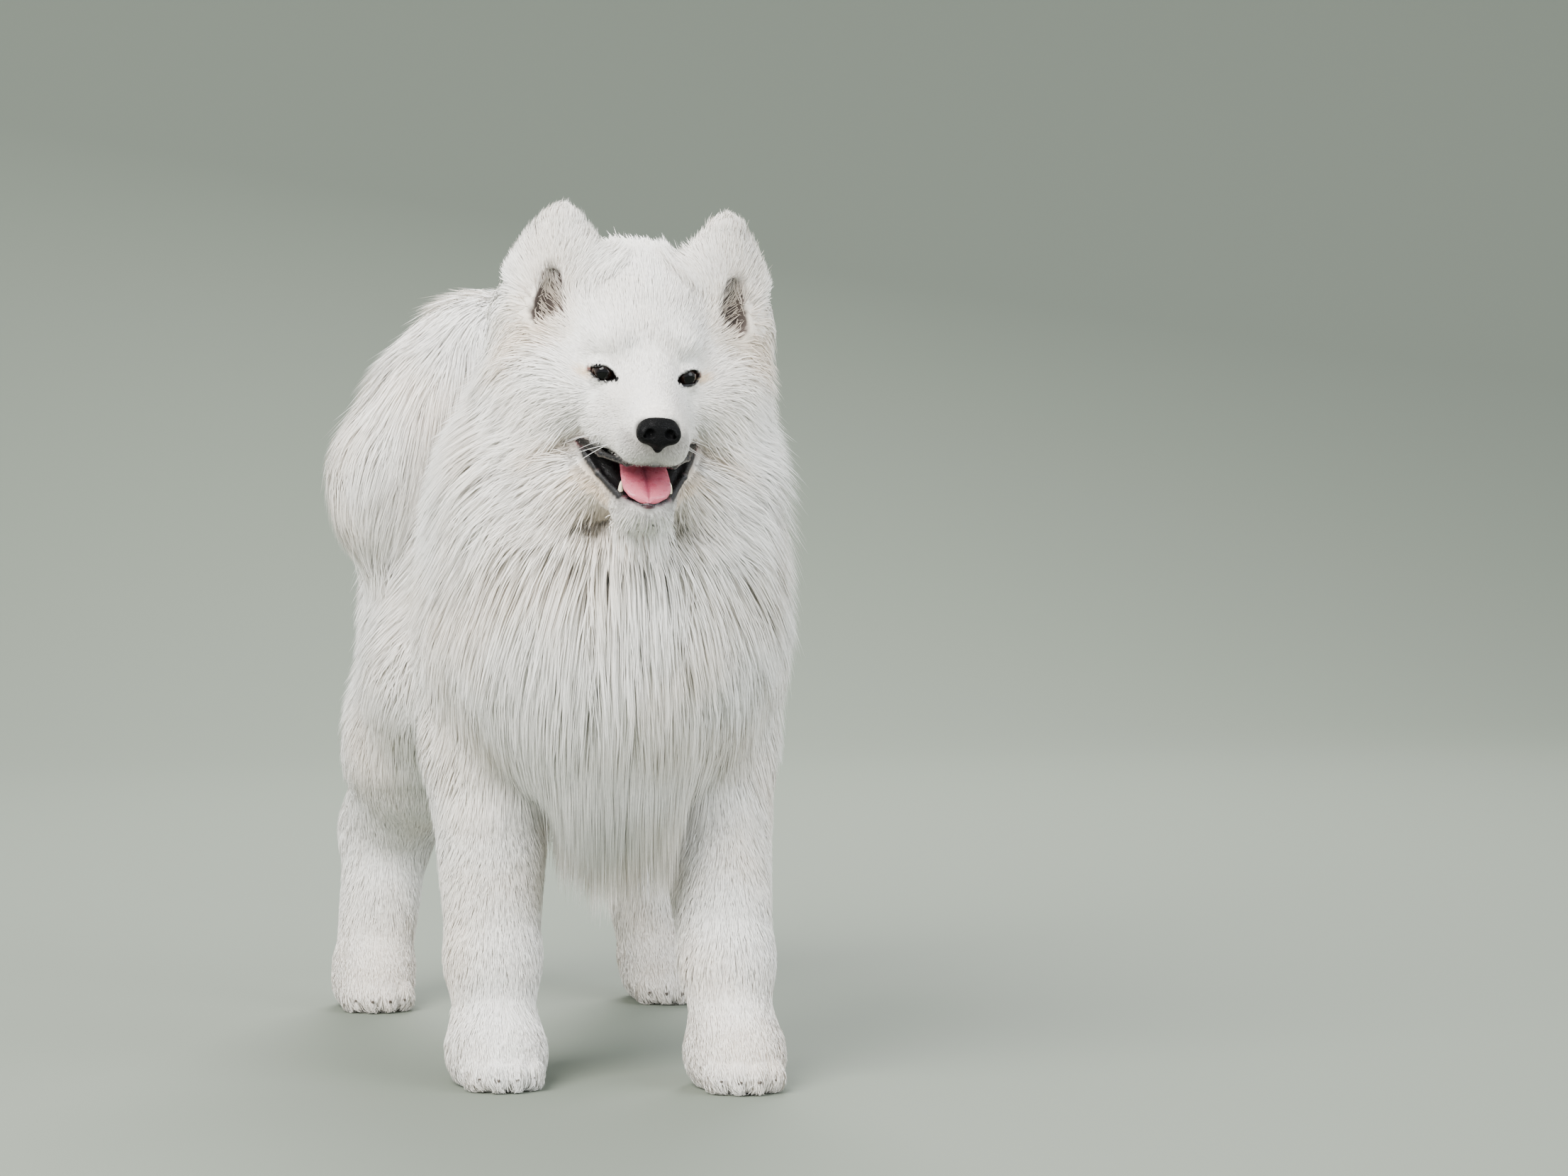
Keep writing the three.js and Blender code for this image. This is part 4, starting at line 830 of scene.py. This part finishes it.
def tuft_blades(path, out, width, kept, softness):
    """Flat blades along the paths, widest near the root and closing to a point."""
    path, out, steps = path[:, kept], out[:, kept], STEPS[kept]
    count = len(path)
    ways = unit(np.diff(path, axis=1))
    ways = np.concatenate([ways, ways[:, -1:]], 1)
    spin = rng.normal(0, 0.4, (count, 1, 1))
    across = unit(np.cross(ways, out))
    across = unit(across * np.cos(spin) + out * np.sin(spin))
    profile = np.array([0.8, 1.0, 0.62])[kept[:-1]]
    half = width[:, None, None] * 0.5 * profile[None, :, None]
    left = path[:, :-1] - across[:, :-1] * half
    right = path[:, :-1] + across[:, :-1] * half
    points = np.concatenate([np.stack([left, right], 2).reshape(count, -1, 3), path[:, -1:]], 1)
    per = points.shape[1]
    quads = [[2 * i, 2 * i + 1, 2 * i + 3, 2 * i + 2] for i in range(len(kept) - 2)]
    tip = [[per - 3, per - 2, per - 1]]
    triangles = [t for q in quads for t in ([q[0], q[1], q[2]], [q[0], q[2], q[3]])] + tip
    faces = (np.array(triangles)[None] + (np.arange(count) * per)[:, None, None]).reshape(-1, 3)
    normal = unit(np.cross(across, ways))
    normal *= np.sign((normal * out).sum(-1, keepdims=True) + 1e-6)
    normal = unit(mix(normal, out, softness))
    normals = np.concatenate([np.repeat(normal[:, :-1], 2, axis=1), normal[:, -1:]], 1)
    along = np.append(np.repeat(steps[:-1], 2), 1.0)
    side = np.append(np.tile([0.0, 1.0], len(kept) - 1), 0.5)
    return points, faces, normals, along, side


PIECE_LIMIT = 190000  # triangles in one piece of the coat
SHORT_SOFT, LONG_SOFT = 0.35, 0.68  # how far the blades' shading follows the body's in place of their own
PATCH = 0.003  # how wide each tuft's patch of the unwrap is


def coat_piece(name, chosen, kept, path, out, width, roots, root_normals, tone):
    index = np.flatnonzero(chosen)
    limit = PIECE_LIMIT // (2 * len(kept) - 3)
    softness = SHORT_SOFT if len(kept) < STATIONS else LONG_SOFT
    for part, start in enumerate(range(0, len(index), limit)):
        pick = index[start : start + limit]
        points, faces, normals, along, side = tuft_blades(path[pick], out[pick], width[pick], kept, softness)
        base = chart_places(roots[pick], root_normals[pick], roots[pick, 0])
        uv = base[:, None] + np.stack([(side - 0.5) * PATCH, (along - 0.5) * PATCH], -1)[None]
        marks = {key: np.repeat(values[pick], points.shape[1]) for key, values in tone.items()}
        marks["along"] = np.tile(along, len(pick))
        piece = mesh_piece(
            f"{name}_{part + 1}", placed(points.reshape(-1, 3)), faces, coat_material, marks,
            uv.reshape(-1, 2), normals.reshape(-1, 3),
        )
        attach(piece, "root")


roots, root_normals = sown(skin_points, skin_quads, skin_normals)


# Finishes


def linear(hex_colour):
    """A colour as the shader takes it, from the six digits that a painter would note."""
    parts = [int(hex_colour[i : i + 2], 16) / 255 for i in (0, 2, 4)]
    return tuple(c / 12.92 if c <= 0.04045 else ((c + 0.055) / 1.055) ** 2.4 for c in parts) + (1.0,)


def give(tree, socket, value):
    """A shader's socket takes a link from another, or a constant."""
    if isinstance(value, bpy.types.NodeSocket):
        tree.links.new(value, socket)
    else:
        socket.default_value = value


def feed(tree, holder, **values):
    for key, value in values.items():
        give(tree, holder.inputs[key.replace("_", " ")], value)


def new_material(name, **values):
    material = bpy.data.materials.new(name)
    material.use_nodes = True
    tree = material.node_tree
    shader = tree.nodes["Principled BSDF"]
    feed(tree, shader, **values)
    return material, tree, shader


def node(tree, kind, settings=None, **values):
    made = tree.nodes.new(kind)
    for key, value in (settings or {}).items():
        setattr(made, key, value)
    feed(tree, made, **values)
    return made


def mask(tree, name):
    return node(tree, "ShaderNodeAttribute", {"attribute_name": name}).outputs["Fac"]


def ranged(tree, value, **limits):
    return node(tree, "ShaderNodeMapRange", Value=value, **limits).outputs["Result"]


def noise(tree, scale, detail=2.0):
    place = node(tree, "ShaderNodeNewGeometry").outputs["Position"]
    return node(tree, "ShaderNodeTexNoise", Vector=place, Scale=scale, Detail=detail).outputs["Fac"]


def blend_colour(tree, amount, first, second):
    mixer = node(tree, "ShaderNodeMix", {"data_type": "RGBA"})
    colours = [one for one in mixer.inputs if one.type == "RGBA"]
    for socket, value in zip([mixer.inputs["Factor"], *colours], (amount, first, second)):
        give(tree, socket, value)
    return next(one for one in mixer.outputs if one.type == "RGBA")


def arithmetic(tree, operation, first, second):
    maths = node(tree, "ShaderNodeMath", {"operation": operation})
    for socket, value in zip(maths.inputs, (first, second)):
        give(tree, socket, value)
    return maths.outputs[0]


def group(name, inputs, outputs):
    """An empty shader group with named sockets, and its two ends."""
    made = bpy.data.node_groups.new(name, "ShaderNodeTree")
    for key, kind, value in inputs:
        made.interface.new_socket(key, in_out="INPUT", socket_type=kind).default_value = value
    for key, kind in outputs:
        made.interface.new_socket(key, in_out="OUTPUT", socket_type=kind)
    return made, made.nodes.new("NodeGroupInput"), made.nodes.new("NodeGroupOutput")


def placed_group(tree, made, **values):
    return node(tree, "ShaderNodeGroup", {"node_tree": made}, **values)


def coat_colour_group():
    """White hair with cream at the ears and jaw, darker skin about the nose and lips, painted shade in the
    brow creases, under the eyes and along the muzzle's sides, and a little change from place to place.
    """
    made, start, end = group(
        "coat_colour",
        [("White", "NodeSocketColor", linear("faf7f1")), ("Cream", "NodeSocketColor", linear("e9cfae")),
         ("Dark_Skin_and_Shade", "NodeSocketColor", linear("77706b")), ("Shade", "NodeSocketFloat", 0.0)],
        [("Colour", "NodeSocketColor")],
    )
    patchy = ranged(made, noise(made, 9.0), From_Min=0.42, From_Max=0.7, To_Max=0.26)
    tint = arithmetic(made, "ADD", mask(made, "cream"), patchy)
    creamed = blend_colour(made, tint, start.outputs["White"], start.outputs["Cream"])
    # Towards a dark grey: the skin about the nose and lips, and painted shade at the brows, under the eyes
    # and on the muzzle's sides
    dark_skin_and_shade = arithmetic(made, "MULTIPLY", mask(made, "dark_skin_and_shade"), 0.75)
    with_dark_skin_and_shade = blend_colour(made, dark_skin_and_shade, creamed, start.outputs["Dark_Skin_and_Shade"])
    worn = ranged(made, noise(made, 300.0), From_Min=0.3, From_Max=0.7, To_Min=0.9, To_Max=1.04)
    depth = arithmetic(made, "SUBTRACT", worn, start.outputs["Shade"])
    final = node(made, "ShaderNodeHueSaturation", Color=with_dark_skin_and_shade, Value=depth).outputs["Color"]
    feed(made, end, Colour=final)
    return made


def bumps_group():
    """Fine pebbling for bare skin: the nose's leather, lips and tongue."""
    made, start, end = group(
        "skin_bumps",
        [("Scale", "NodeSocketFloat", 600.0), ("Strength", "NodeSocketFloat", 0.4),
         ("Distance", "NodeSocketFloat", 0.0005)],
        [("Normal", "NodeSocketVector"), ("Pits", "NodeSocketFloat")],
    )
    place = node(made, "ShaderNodeNewGeometry").outputs["Position"]
    to_edge = {"feature": "DISTANCE_TO_EDGE"}
    cells = node(made, "ShaderNodeTexVoronoi", to_edge, Vector=place, Scale=start.outputs["Scale"])
    smooth = {"interpolation_type": "SMOOTHSTEP"}
    rounded = node(made, "ShaderNodeMapRange", smooth, Value=cells.outputs["Distance"], From_Max=0.22)
    pits = rounded.outputs["Result"]
    strength, distance = start.outputs["Strength"], start.outputs["Distance"]
    bump = node(made, "ShaderNodeBump", Height=pits, Strength=strength, Distance=distance)
    feed(made, end, Normal=bump.outputs["Normal"], Pits=pits)
    return made


COAT_COLOUR = coat_colour_group()
SKIN_BUMPS = bumps_group()

coat_material, tree, shader = new_material(
    "white_fur", Roughness=0.62, Sheen_Weight=0.25, Sheen_Roughness=0.5, Specular_IOR_Level=0.3,
)
root_shade = ranged(tree, mask(tree, "along"), From_Max=0.6, To_Min=0.14, To_Max=0.0)
chance_shade = ranged(tree, mask(tree, "chance"), To_Min=-0.02, To_Max=0.09)
shade = arithmetic(tree, "ADD", root_shade, chance_shade)
colour = placed_group(tree, COAT_COLOUR, Shade=shade).outputs["Colour"]
inside_ear = arithmetic(tree, "MULTIPLY", mask(tree, "inner_ear"), 0.5)
feed(tree, shader, Base_Color=blend_colour(tree, inside_ear, colour, linear("6e625a")))

skin_material, tree, shader = new_material("skin", Roughness=0.55, Specular_IOR_Level=0.4)
colour = placed_group(tree, COAT_COLOUR, Shade=0.04).outputs["Colour"]
for mark, paint in (("inner_ear", "4a403b"), ("in_mouth", "6b3540"), ("bare", "0b0a0b"), ("pink", "8a5a50")):
    colour = blend_colour(tree, mask(tree, mark), colour, linear(paint))
damp = ranged(tree, mask(tree, "bare"), To_Min=0.75, To_Max=0.36)
wet = ranged(tree, mask(tree, "in_mouth"), To_Max=0.4)
pebbles = placed_group(tree, SKIN_BUMPS, Scale=700.0, Strength=0.35)
feed(
    tree, shader, Base_Color=colour, Roughness=arithmetic(tree, "SUBTRACT", damp, wet),
    Normal=pebbles.outputs["Normal"],
)

nose_material, tree, shader = new_material(
    "nose_leather", Specular_IOR_Level=0.08, Coat_Roughness=0.3, Coat_Weight=0.03,
)
pebbles = placed_group(tree, SKIN_BUMPS, Scale=620.0, Strength=0.75, Distance=0.0007)
pits = pebbles.outputs["Pits"]
# Painted shade: darker in the grooves between the leather's pebbles
colour = blend_colour(tree, pits, linear("040404"), linear("0a0a0b"))
gloss = ranged(tree, pits, To_Min=0.65, To_Max=0.42)
feed(tree, shader, Base_Color=colour, Normal=pebbles.outputs["Normal"], Roughness=gloss)

tongue_material, tree, shader = new_material(
    "tongue", Specular_IOR_Level=0.6, Coat_Roughness=0.15, Coat_Weight=0.4,
    Subsurface_Weight=0.15, Subsurface_Scale=0.004,
)
mottle = noise(tree, 130.0, 3.0)
colour = blend_colour(tree, mottle, linear("b34c60"), linear("cf6f7d"))
# Painted shade: darker along the groove down the tongue's middle
colour = blend_colour(tree, mask(tree, "groove"), colour, linear("8f3a4c"))
papillae = placed_group(tree, SKIN_BUMPS, Scale=900.0, Strength=0.45, Distance=0.0005)
spit = ranged(tree, mottle, From_Min=0.4, From_Max=0.65, To_Min=0.22, To_Max=0.5)
feed(tree, shader, Base_Color=colour, Normal=papillae.outputs["Normal"], Roughness=spit)


def mottled(name, scale, first, second, **values):
    """A finish of two colours that a fine noise mixes."""
    material, tree, shader = new_material(name, **values)
    feed(tree, shader, Base_Color=blend_colour(tree, noise(tree, scale), linear(first), linear(second)))
    return material


tooth_material = mottled("enamel", 300.0, "efe7d2", "ddcba4", Roughness=0.22, Specular_IOR_Level=0.6)
claw_material = mottled("claw_horn", 400.0, "3a322d", "6e6258", Roughness=0.35)

eye_material, tree, shader = new_material("eye", Roughness=0.1, Specular_IOR_Level=0.22)
iris = mask(tree, "iris")
rays = noise(tree, 900.0)
brown = blend_colour(tree, rays, linear("0c0604"), linear("1d110b"))
white = blend_colour(tree, rays, linear("3a2f2c"), linear("5d4e48"))
rim = ranged(tree, iris, From_Min=9.3, From_Max=10.0)
pupil = ranged(tree, iris, From_Min=4.4, From_Max=5.2, To_Min=1, To_Max=0)
colour = blend_colour(tree, rim, brown, white)
feed(tree, shader, Base_Color=blend_colour(tree, pupil, colour, linear("030303")))

whisker_material = new_material("whisker", Roughness=0.4, Base_Color=linear("f6f3ee"))[0]

# Skin
corner_points = skin_points[skin_quads]
face_ways = unit(crossed_corners(corner_points))[:, None] + np.zeros((1, 4, 1))
skin_uv = chart_places(corner_points, face_ways, corner_points.mean(1)[:, None, 0])
skin_marks = markings(skin_points)
skin_h = on_left(to_head(skin_points))
EYE_CORNERS = ([20.5, -53, -18], [47, -49, -14])
eye_corner = np.min([np.linalg.norm(skin_h - at, axis=-1) for at in EYE_CORNERS], axis=0)
skin_marks["pink"] = ramp(eye_corner, 3.5, 1.5) * 0.75
skin = mesh_piece("skin", placed(skin_points), skin_quads, skin_material, skin_marks)
skin.data.uv_layers.new(name="OFBake").data.foreach_set("uv", skin_uv.astype(np.float32).ravel())
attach(skin, "root")
SEPARATE = ("nose", "tongue", "eye", "tooth")
FLESH = [name for name in frame["nodes"] if name.split("_")[0] not in SEPARATE]
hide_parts(*FLESH)

# Face's own pieces


def head_piece(name, points, faces, material, node_name=None, attributes=None):
    piece = mesh_piece(name, placed(from_head(points)), faces, material, attributes)
    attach(piece, "root")
    if node_name:
        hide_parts(node_name)


def tube_faces(rows, around):
    """Quads between a tube's rings of points, which are numbered ring after ring."""
    index = np.arange(rows * around).reshape(rows, around)
    beside = np.roll(index, -1, 1)
    return np.stack([index[:-1], beside[:-1], beside[1:], index[1:]], -1).reshape(-1, 4)


def revolved(profile, turns, transform):
    """Quads of a profile of (radius, height) pairs turned about its own axis."""
    profile = np.asarray(profile, float)
    angle = np.arange(turns) / turns * 2 * np.pi
    ring = np.stack([np.cos(angle), np.sin(angle)], -1)
    points = np.concatenate([np.column_stack([r * ring, np.full(turns, z)]) for r, z in profile])
    return transform(points), tube_faces(len(profile), turns)


def eye(side):
    """An eyeball with its cornea standing a little proud, looking outwards and ahead."""
    rows, turns = 40, 48
    angle = np.linspace(0.001, np.pi - 0.001, rows)
    radius = EYE_RADIUS + 1.1 * ramp(angle, 0.85, 0.3)
    profile = np.column_stack([radius * np.sin(angle), radius * np.cos(angle)])
    sight = EYE_SIGHT * [side, 1, 1]
    basis = np.array(Vector(sight).to_track_quat("Z", "Y").to_matrix())
    points, faces = revolved(profile, turns, lambda p: p @ basis.T + EYE_AT * [side, 1, 1])
    away = np.repeat(angle, turns)
    iris = EYE_RADIUS * np.sin(np.minimum(away, np.pi / 2)) + np.where(away > np.pi / 2, 9, 0)
    hand = "left" if side > 0 else "right"
    head_piece(f"eyeball_{hand}", points, faces, eye_material, f"eye_{hand}", {"iris": iris})


NOSE = [
    ball([0, 1, 0], [17.5, 12.5, 13], 0, 5),
    ball([0, 8, 6], [13, 12, 10], 0, 6),
    *pair(ball([11, -3, -2], [8, 9, 8.5], 0, 3)),
    rod([0, -4, -8], [0, -3, -14], [7.5, 4], [0, 0], 6),
]
NOSTRILS = pair(
    ball([8.4, -13, 0], [4.4, 7, 4.2], 0, 1.5),
    rod([11, -11, -2], [17, -4, -4.5], [1.8, 1.3], [0, 0], 1.5),
)
PHILTRUM = rod([0, -14.5, -3], [0, -9, -19], [0.8, 0.8])[0]


def nose_field(p):
    holes = np.minimum(blended(NOSTRILS, p, 0), PHILTRUM(p, 0))
    return -join(-blended(NOSE, p, 0), holes, 1.5)


nose_axes = tuple(np.arange(low, high, 0.9) for low, high in ((-25, 26), (-23, 26), (-27, 22)))
nose_points, nose_quads = surface_net(sampled(nose_field, nose_axes, 6.0), nose_axes)
nose_points, _ = drawn_on(nose_field, nose_points, 1, 0.2)
head_piece("nose_leather", nose_points + NOSE_AT, nose_quads, nose_material, "nose")

TONGUE_LINE = np.array([
    [0, -34, -84], [0, -62, -83], [0, -88, -89], [0, -106, -95.5],
    [0, -119, -101], [0, -127, -105.5], [0, -131.5, -109],
])
TONGUE_WIDTH = np.array([11, 17, 20, 21, 20, 14, 0.6])


def tongue():
    t = np.linspace(0, len(TONGUE_LINE) - 1, 49)
    spine = np.column_stack([smooth_line(t, TONGUE_LINE[:, i]) for i in range(3)])
    width = np.maximum(smooth_line(t, TONGUE_WIDTH), 0.5)
    around = 40
    angle = np.arange(around) / around * 2 * np.pi
    c, s = np.cos(angle), np.sin(angle)
    groove = 1.9 * np.exp(-((c / 0.16) ** 2)) * (s > 0) * ramp(width, 2, 10)[:, None]
    thick = 3.3 * ramp(width, 0, 8)[:, None] + 0.2
    up = thick * np.sign(s) * np.abs(s) ** 0.7 - groove
    ripple = 0.25 * np.sin(t * 9)[:, None] * (np.abs(c) > 0.8)
    points = np.stack([width[:, None] * c + 0 * up, spine[:, 1:2] + 0 * up, spine[:, 2:3] + up + ripple], -1)
    faces = tube_faces(len(t), around)[:, [0, 3, 2, 1]]
    # Painted shade along the groove down the tongue's middle
    groove_shade = np.exp(-((c / 0.12) ** 2)) * (s > 0) + 0 * t[:, None]
    marks = {"groove": groove_shade.ravel()}
    head_piece("tongue_flesh", points.reshape(-1, 3), faces, tongue_material, "tongue", marks)


def smooth_line(t, values):
    """Values between evenly numbered ones, on a smooth curve through them."""
    padded = np.concatenate([[2 * values[0] - values[1]], values, [2 * values[-1] - values[-2]]])
    i = np.clip(t.astype(int), 0, len(values) - 2)
    f = t - i
    a, b, c, d = (padded[i + k] for k in range(4))
    return 0.5 * (2 * b + (c - a) * f + (2 * a - 5 * b + 4 * c - d) * f**2 + (3 * b - a - 3 * c + d) * f**3)


def tooth(name, at, radius, height, lean, node_name):
    """A tapered tooth that curves a little back."""
    rows = np.linspace(0, 1, 9)
    profile = np.column_stack([radius * (1 - rows**2.2) ** 0.6 + 0.02, rows * height - height / 2])

    def stand(p):
        bend = 1.6 * (p[:, 2] / height + 0.5) ** 2 * radius * 0.5
        p = p + np.column_stack([0 * bend, bend, 0 * bend])
        return p @ (turned("X", lean[0]) @ turned("Z", lean[1])).T + at

    points, faces = revolved(profile, 14, stand)
    head_piece(name, points, faces, tooth_material, node_name)


for side, hand in ((1, "left"), (-1, "right")):
    eye(side)
    tooth(f"canine_{hand}", [side * 21, -109, -106], 2.8, 19, (7, -side * 7), f"tooth_{hand}")
tongue()


def claw(name, at):
    rows = np.linspace(0, 1, 10)
    profile = np.column_stack([3.6 * (1 - rows**1.7) ** 0.7 + 0.02, rows * 19])

    def lie(p):
        p = p * [0.85, 1, 1]
        p[:, 1] += 0.02 * p[:, 2] ** 2
        return p @ turned("X", 103).T + at

    points, faces = revolved(profile, 12, lie)
    points[:, 2] = np.maximum(points[:, 2], 0.6)
    piece = mesh_piece(name, placed(points), faces, claw_material)
    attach(piece, "root")


for i, (side, stance, y, size) in enumerate(PAWS):
    for j, x in enumerate((-24, -8.5, 8.5, 24)):
        claw(f"claw_{i + 1}_{j + 1}", [side * stance + x, y - (47 if abs(x) < 10 else 36) * size, 11.5])

path, out, width, length = grown_tufts(roots, root_normals)
long_coat = ramp(length, 20, 60)
path = clumped(path, roots, mix(7.0, 30.0, long_coat), mix(0.2, 0.3, long_coat))
path = clumped(path, roots, mix(3.0, 8.0, long_coat), mix(0.25, 0.12, long_coat))
root_marks = markings(roots)
tone = {key: root_marks[key] for key in ("cream", "dark_skin_and_shade", "inner_ear")}
tone["chance"] = rng.random(len(roots)) * mix(1.7, 1, long_coat)
_, _, _, face, ear, tail = coat_plan(roots)
REGIONS = {
    "tail_coat": tail > 0.5,
    "ear_coat": ear > 0.5,
    "face_coat": face > 0.4,
    "leg_coat": roots[:, 2] < 250,
    "ruff_coat": roots[:, 1] < 60,
    "flank_coat": roots[:, 1] < 330,
    "rump_coat": roots[:, 1] < 1000,
}
SHORT_COATS = ("ear_coat", "face_coat", "leg_coat")
taken = np.zeros(len(roots), bool)
for region, where in REGIONS.items():
    kept = [0, 2, 3] if region in SHORT_COATS else [0, 1, 2, 3]
    coat_piece(region, where & ~taken, kept, path, out, width, roots, root_normals, tone)
    taken |= where

# Whiskers


WHISKER_ROWS, WHISKER_SIDES = 8, 3


def whisker(side, number):
    """A long white hair from the muzzle's side that bends out and down, thinning to its tip."""
    row, place = divmod(number, 4)
    start = np.array([side * (24 + 1.5 * row), -104 + 9 * place, -58 - 7 * row])
    way = unit(np.array([side * (0.9 - 0.08 * place), 0.28 + 0.12 * place, -0.12 - 0.14 * row]))
    way = unit(way + rng.normal(0, 0.08, 3))
    t = np.linspace(0, 1, WHISKER_ROWS)[:, None]
    reach = rng.uniform(38, 56)
    line = start + way * reach * t + np.array([0, 4, -12]) * t**2
    across = unit(np.cross(way, [0, 0, 1.0]))
    ring = np.arange(WHISKER_SIDES) / WHISKER_SIDES * 2 * np.pi
    spread = np.cos(ring)[:, None] * across + np.sin(ring)[:, None] * np.cross(way, across)
    points = line[:, None] + spread * (0.32 * (1 - 0.8 * t))[..., None]
    return points.reshape(-1, 3), tube_faces(WHISKER_ROWS, WHISKER_SIDES)


hairs = [whisker(side, number) for side in (1, -1) for number in range(8)]
hair_points = np.concatenate([points for points, _ in hairs])
hair_faces = np.concatenate([faces + len(points) * i for i, (points, faces) in enumerate(hairs)])
head_piece("whiskers", hair_points, hair_faces, whisker_material)

# Floor, light and the photograph's camera


def plain_floor():
    """A floor that curves up into a wall a few metres behind the dog."""
    arc = [(3 + 2 * math.sin(a), 2 - 2 * math.cos(a)) for a in np.linspace(0, np.pi / 2, 17)]
    profile = [(-7, 0), *arc, (5, 6)]
    points = [(x, y, z) for x in (-9, 9) for y, z in profile]
    index = np.arange(len(points)).reshape(2, -1)
    faces = np.stack([index[1, :-1], index[1, 1:], index[0, 1:], index[0, :-1]], -1)
    material = new_material("studio_grey", Roughness=0.9, Base_Color=(0.15, 0.17, 0.135, 1))[0]
    mesh_piece("floor", points, faces, material)


def soft_light(name, place, aim, size, power, colour=(1, 1, 1)):
    lamp = bpy.data.lights.new(name, "AREA")
    lamp.shape = "DISK"
    lamp.size = size
    lamp.energy = power
    lamp.color = colour
    holder = bpy.data.objects.new(name, lamp)
    holder.location = place
    holder.rotation_euler = (Vector(aim) - Vector(place)).to_track_quat("-Z", "Y").to_euler()
    bpy.context.scene.collection.objects.link(holder)


plain_floor()
soft_light("key", (-2.4, -2.6, 3.4), (0, 0, 0.5), 3.2, 560, (1, 0.985, 0.96))
soft_light("fill", (3.0, -2.8, 2.0), (0, 0, 0.5), 3.0, 150, (0.9, 0.95, 1))
soft_light("back", (0.8, 3.2, 2.8), (0, 0, 0.5), 2.0, 260)
world = bpy.data.worlds.new("studio")
bpy.context.scene.world = world
world.use_nodes = True
feed(world.node_tree, world.node_tree.nodes["Background"], Color=(0.86, 0.9, 0.95, 1), Strength=1.5)

lens = bpy.data.cameras.new("camera")
lens.lens = 117.2
lens.sensor_width = 36
CAMERA_AWAY, CAMERA_HIGH = 4.5, 0.69
camera = bpy.data.objects.new("camera", lens)
stand = math.radians(10)
foot = Vector((-CAMERA_AWAY * math.sin(stand), -CAMERA_AWAY * math.cos(stand), CAMERA_HIGH))
camera.location = foot + Vector(SHIFT)
heading, tilt = math.radians(11.94), math.radians(-3.2)
sight = Vector((math.sin(heading) * math.cos(tilt), math.cos(heading) * math.cos(tilt), math.sin(tilt)))
camera.rotation_euler = sight.to_track_quat("-Z", "Y").to_euler()
bpy.context.scene.collection.objects.link(camera)
bpy.context.scene.camera = camera
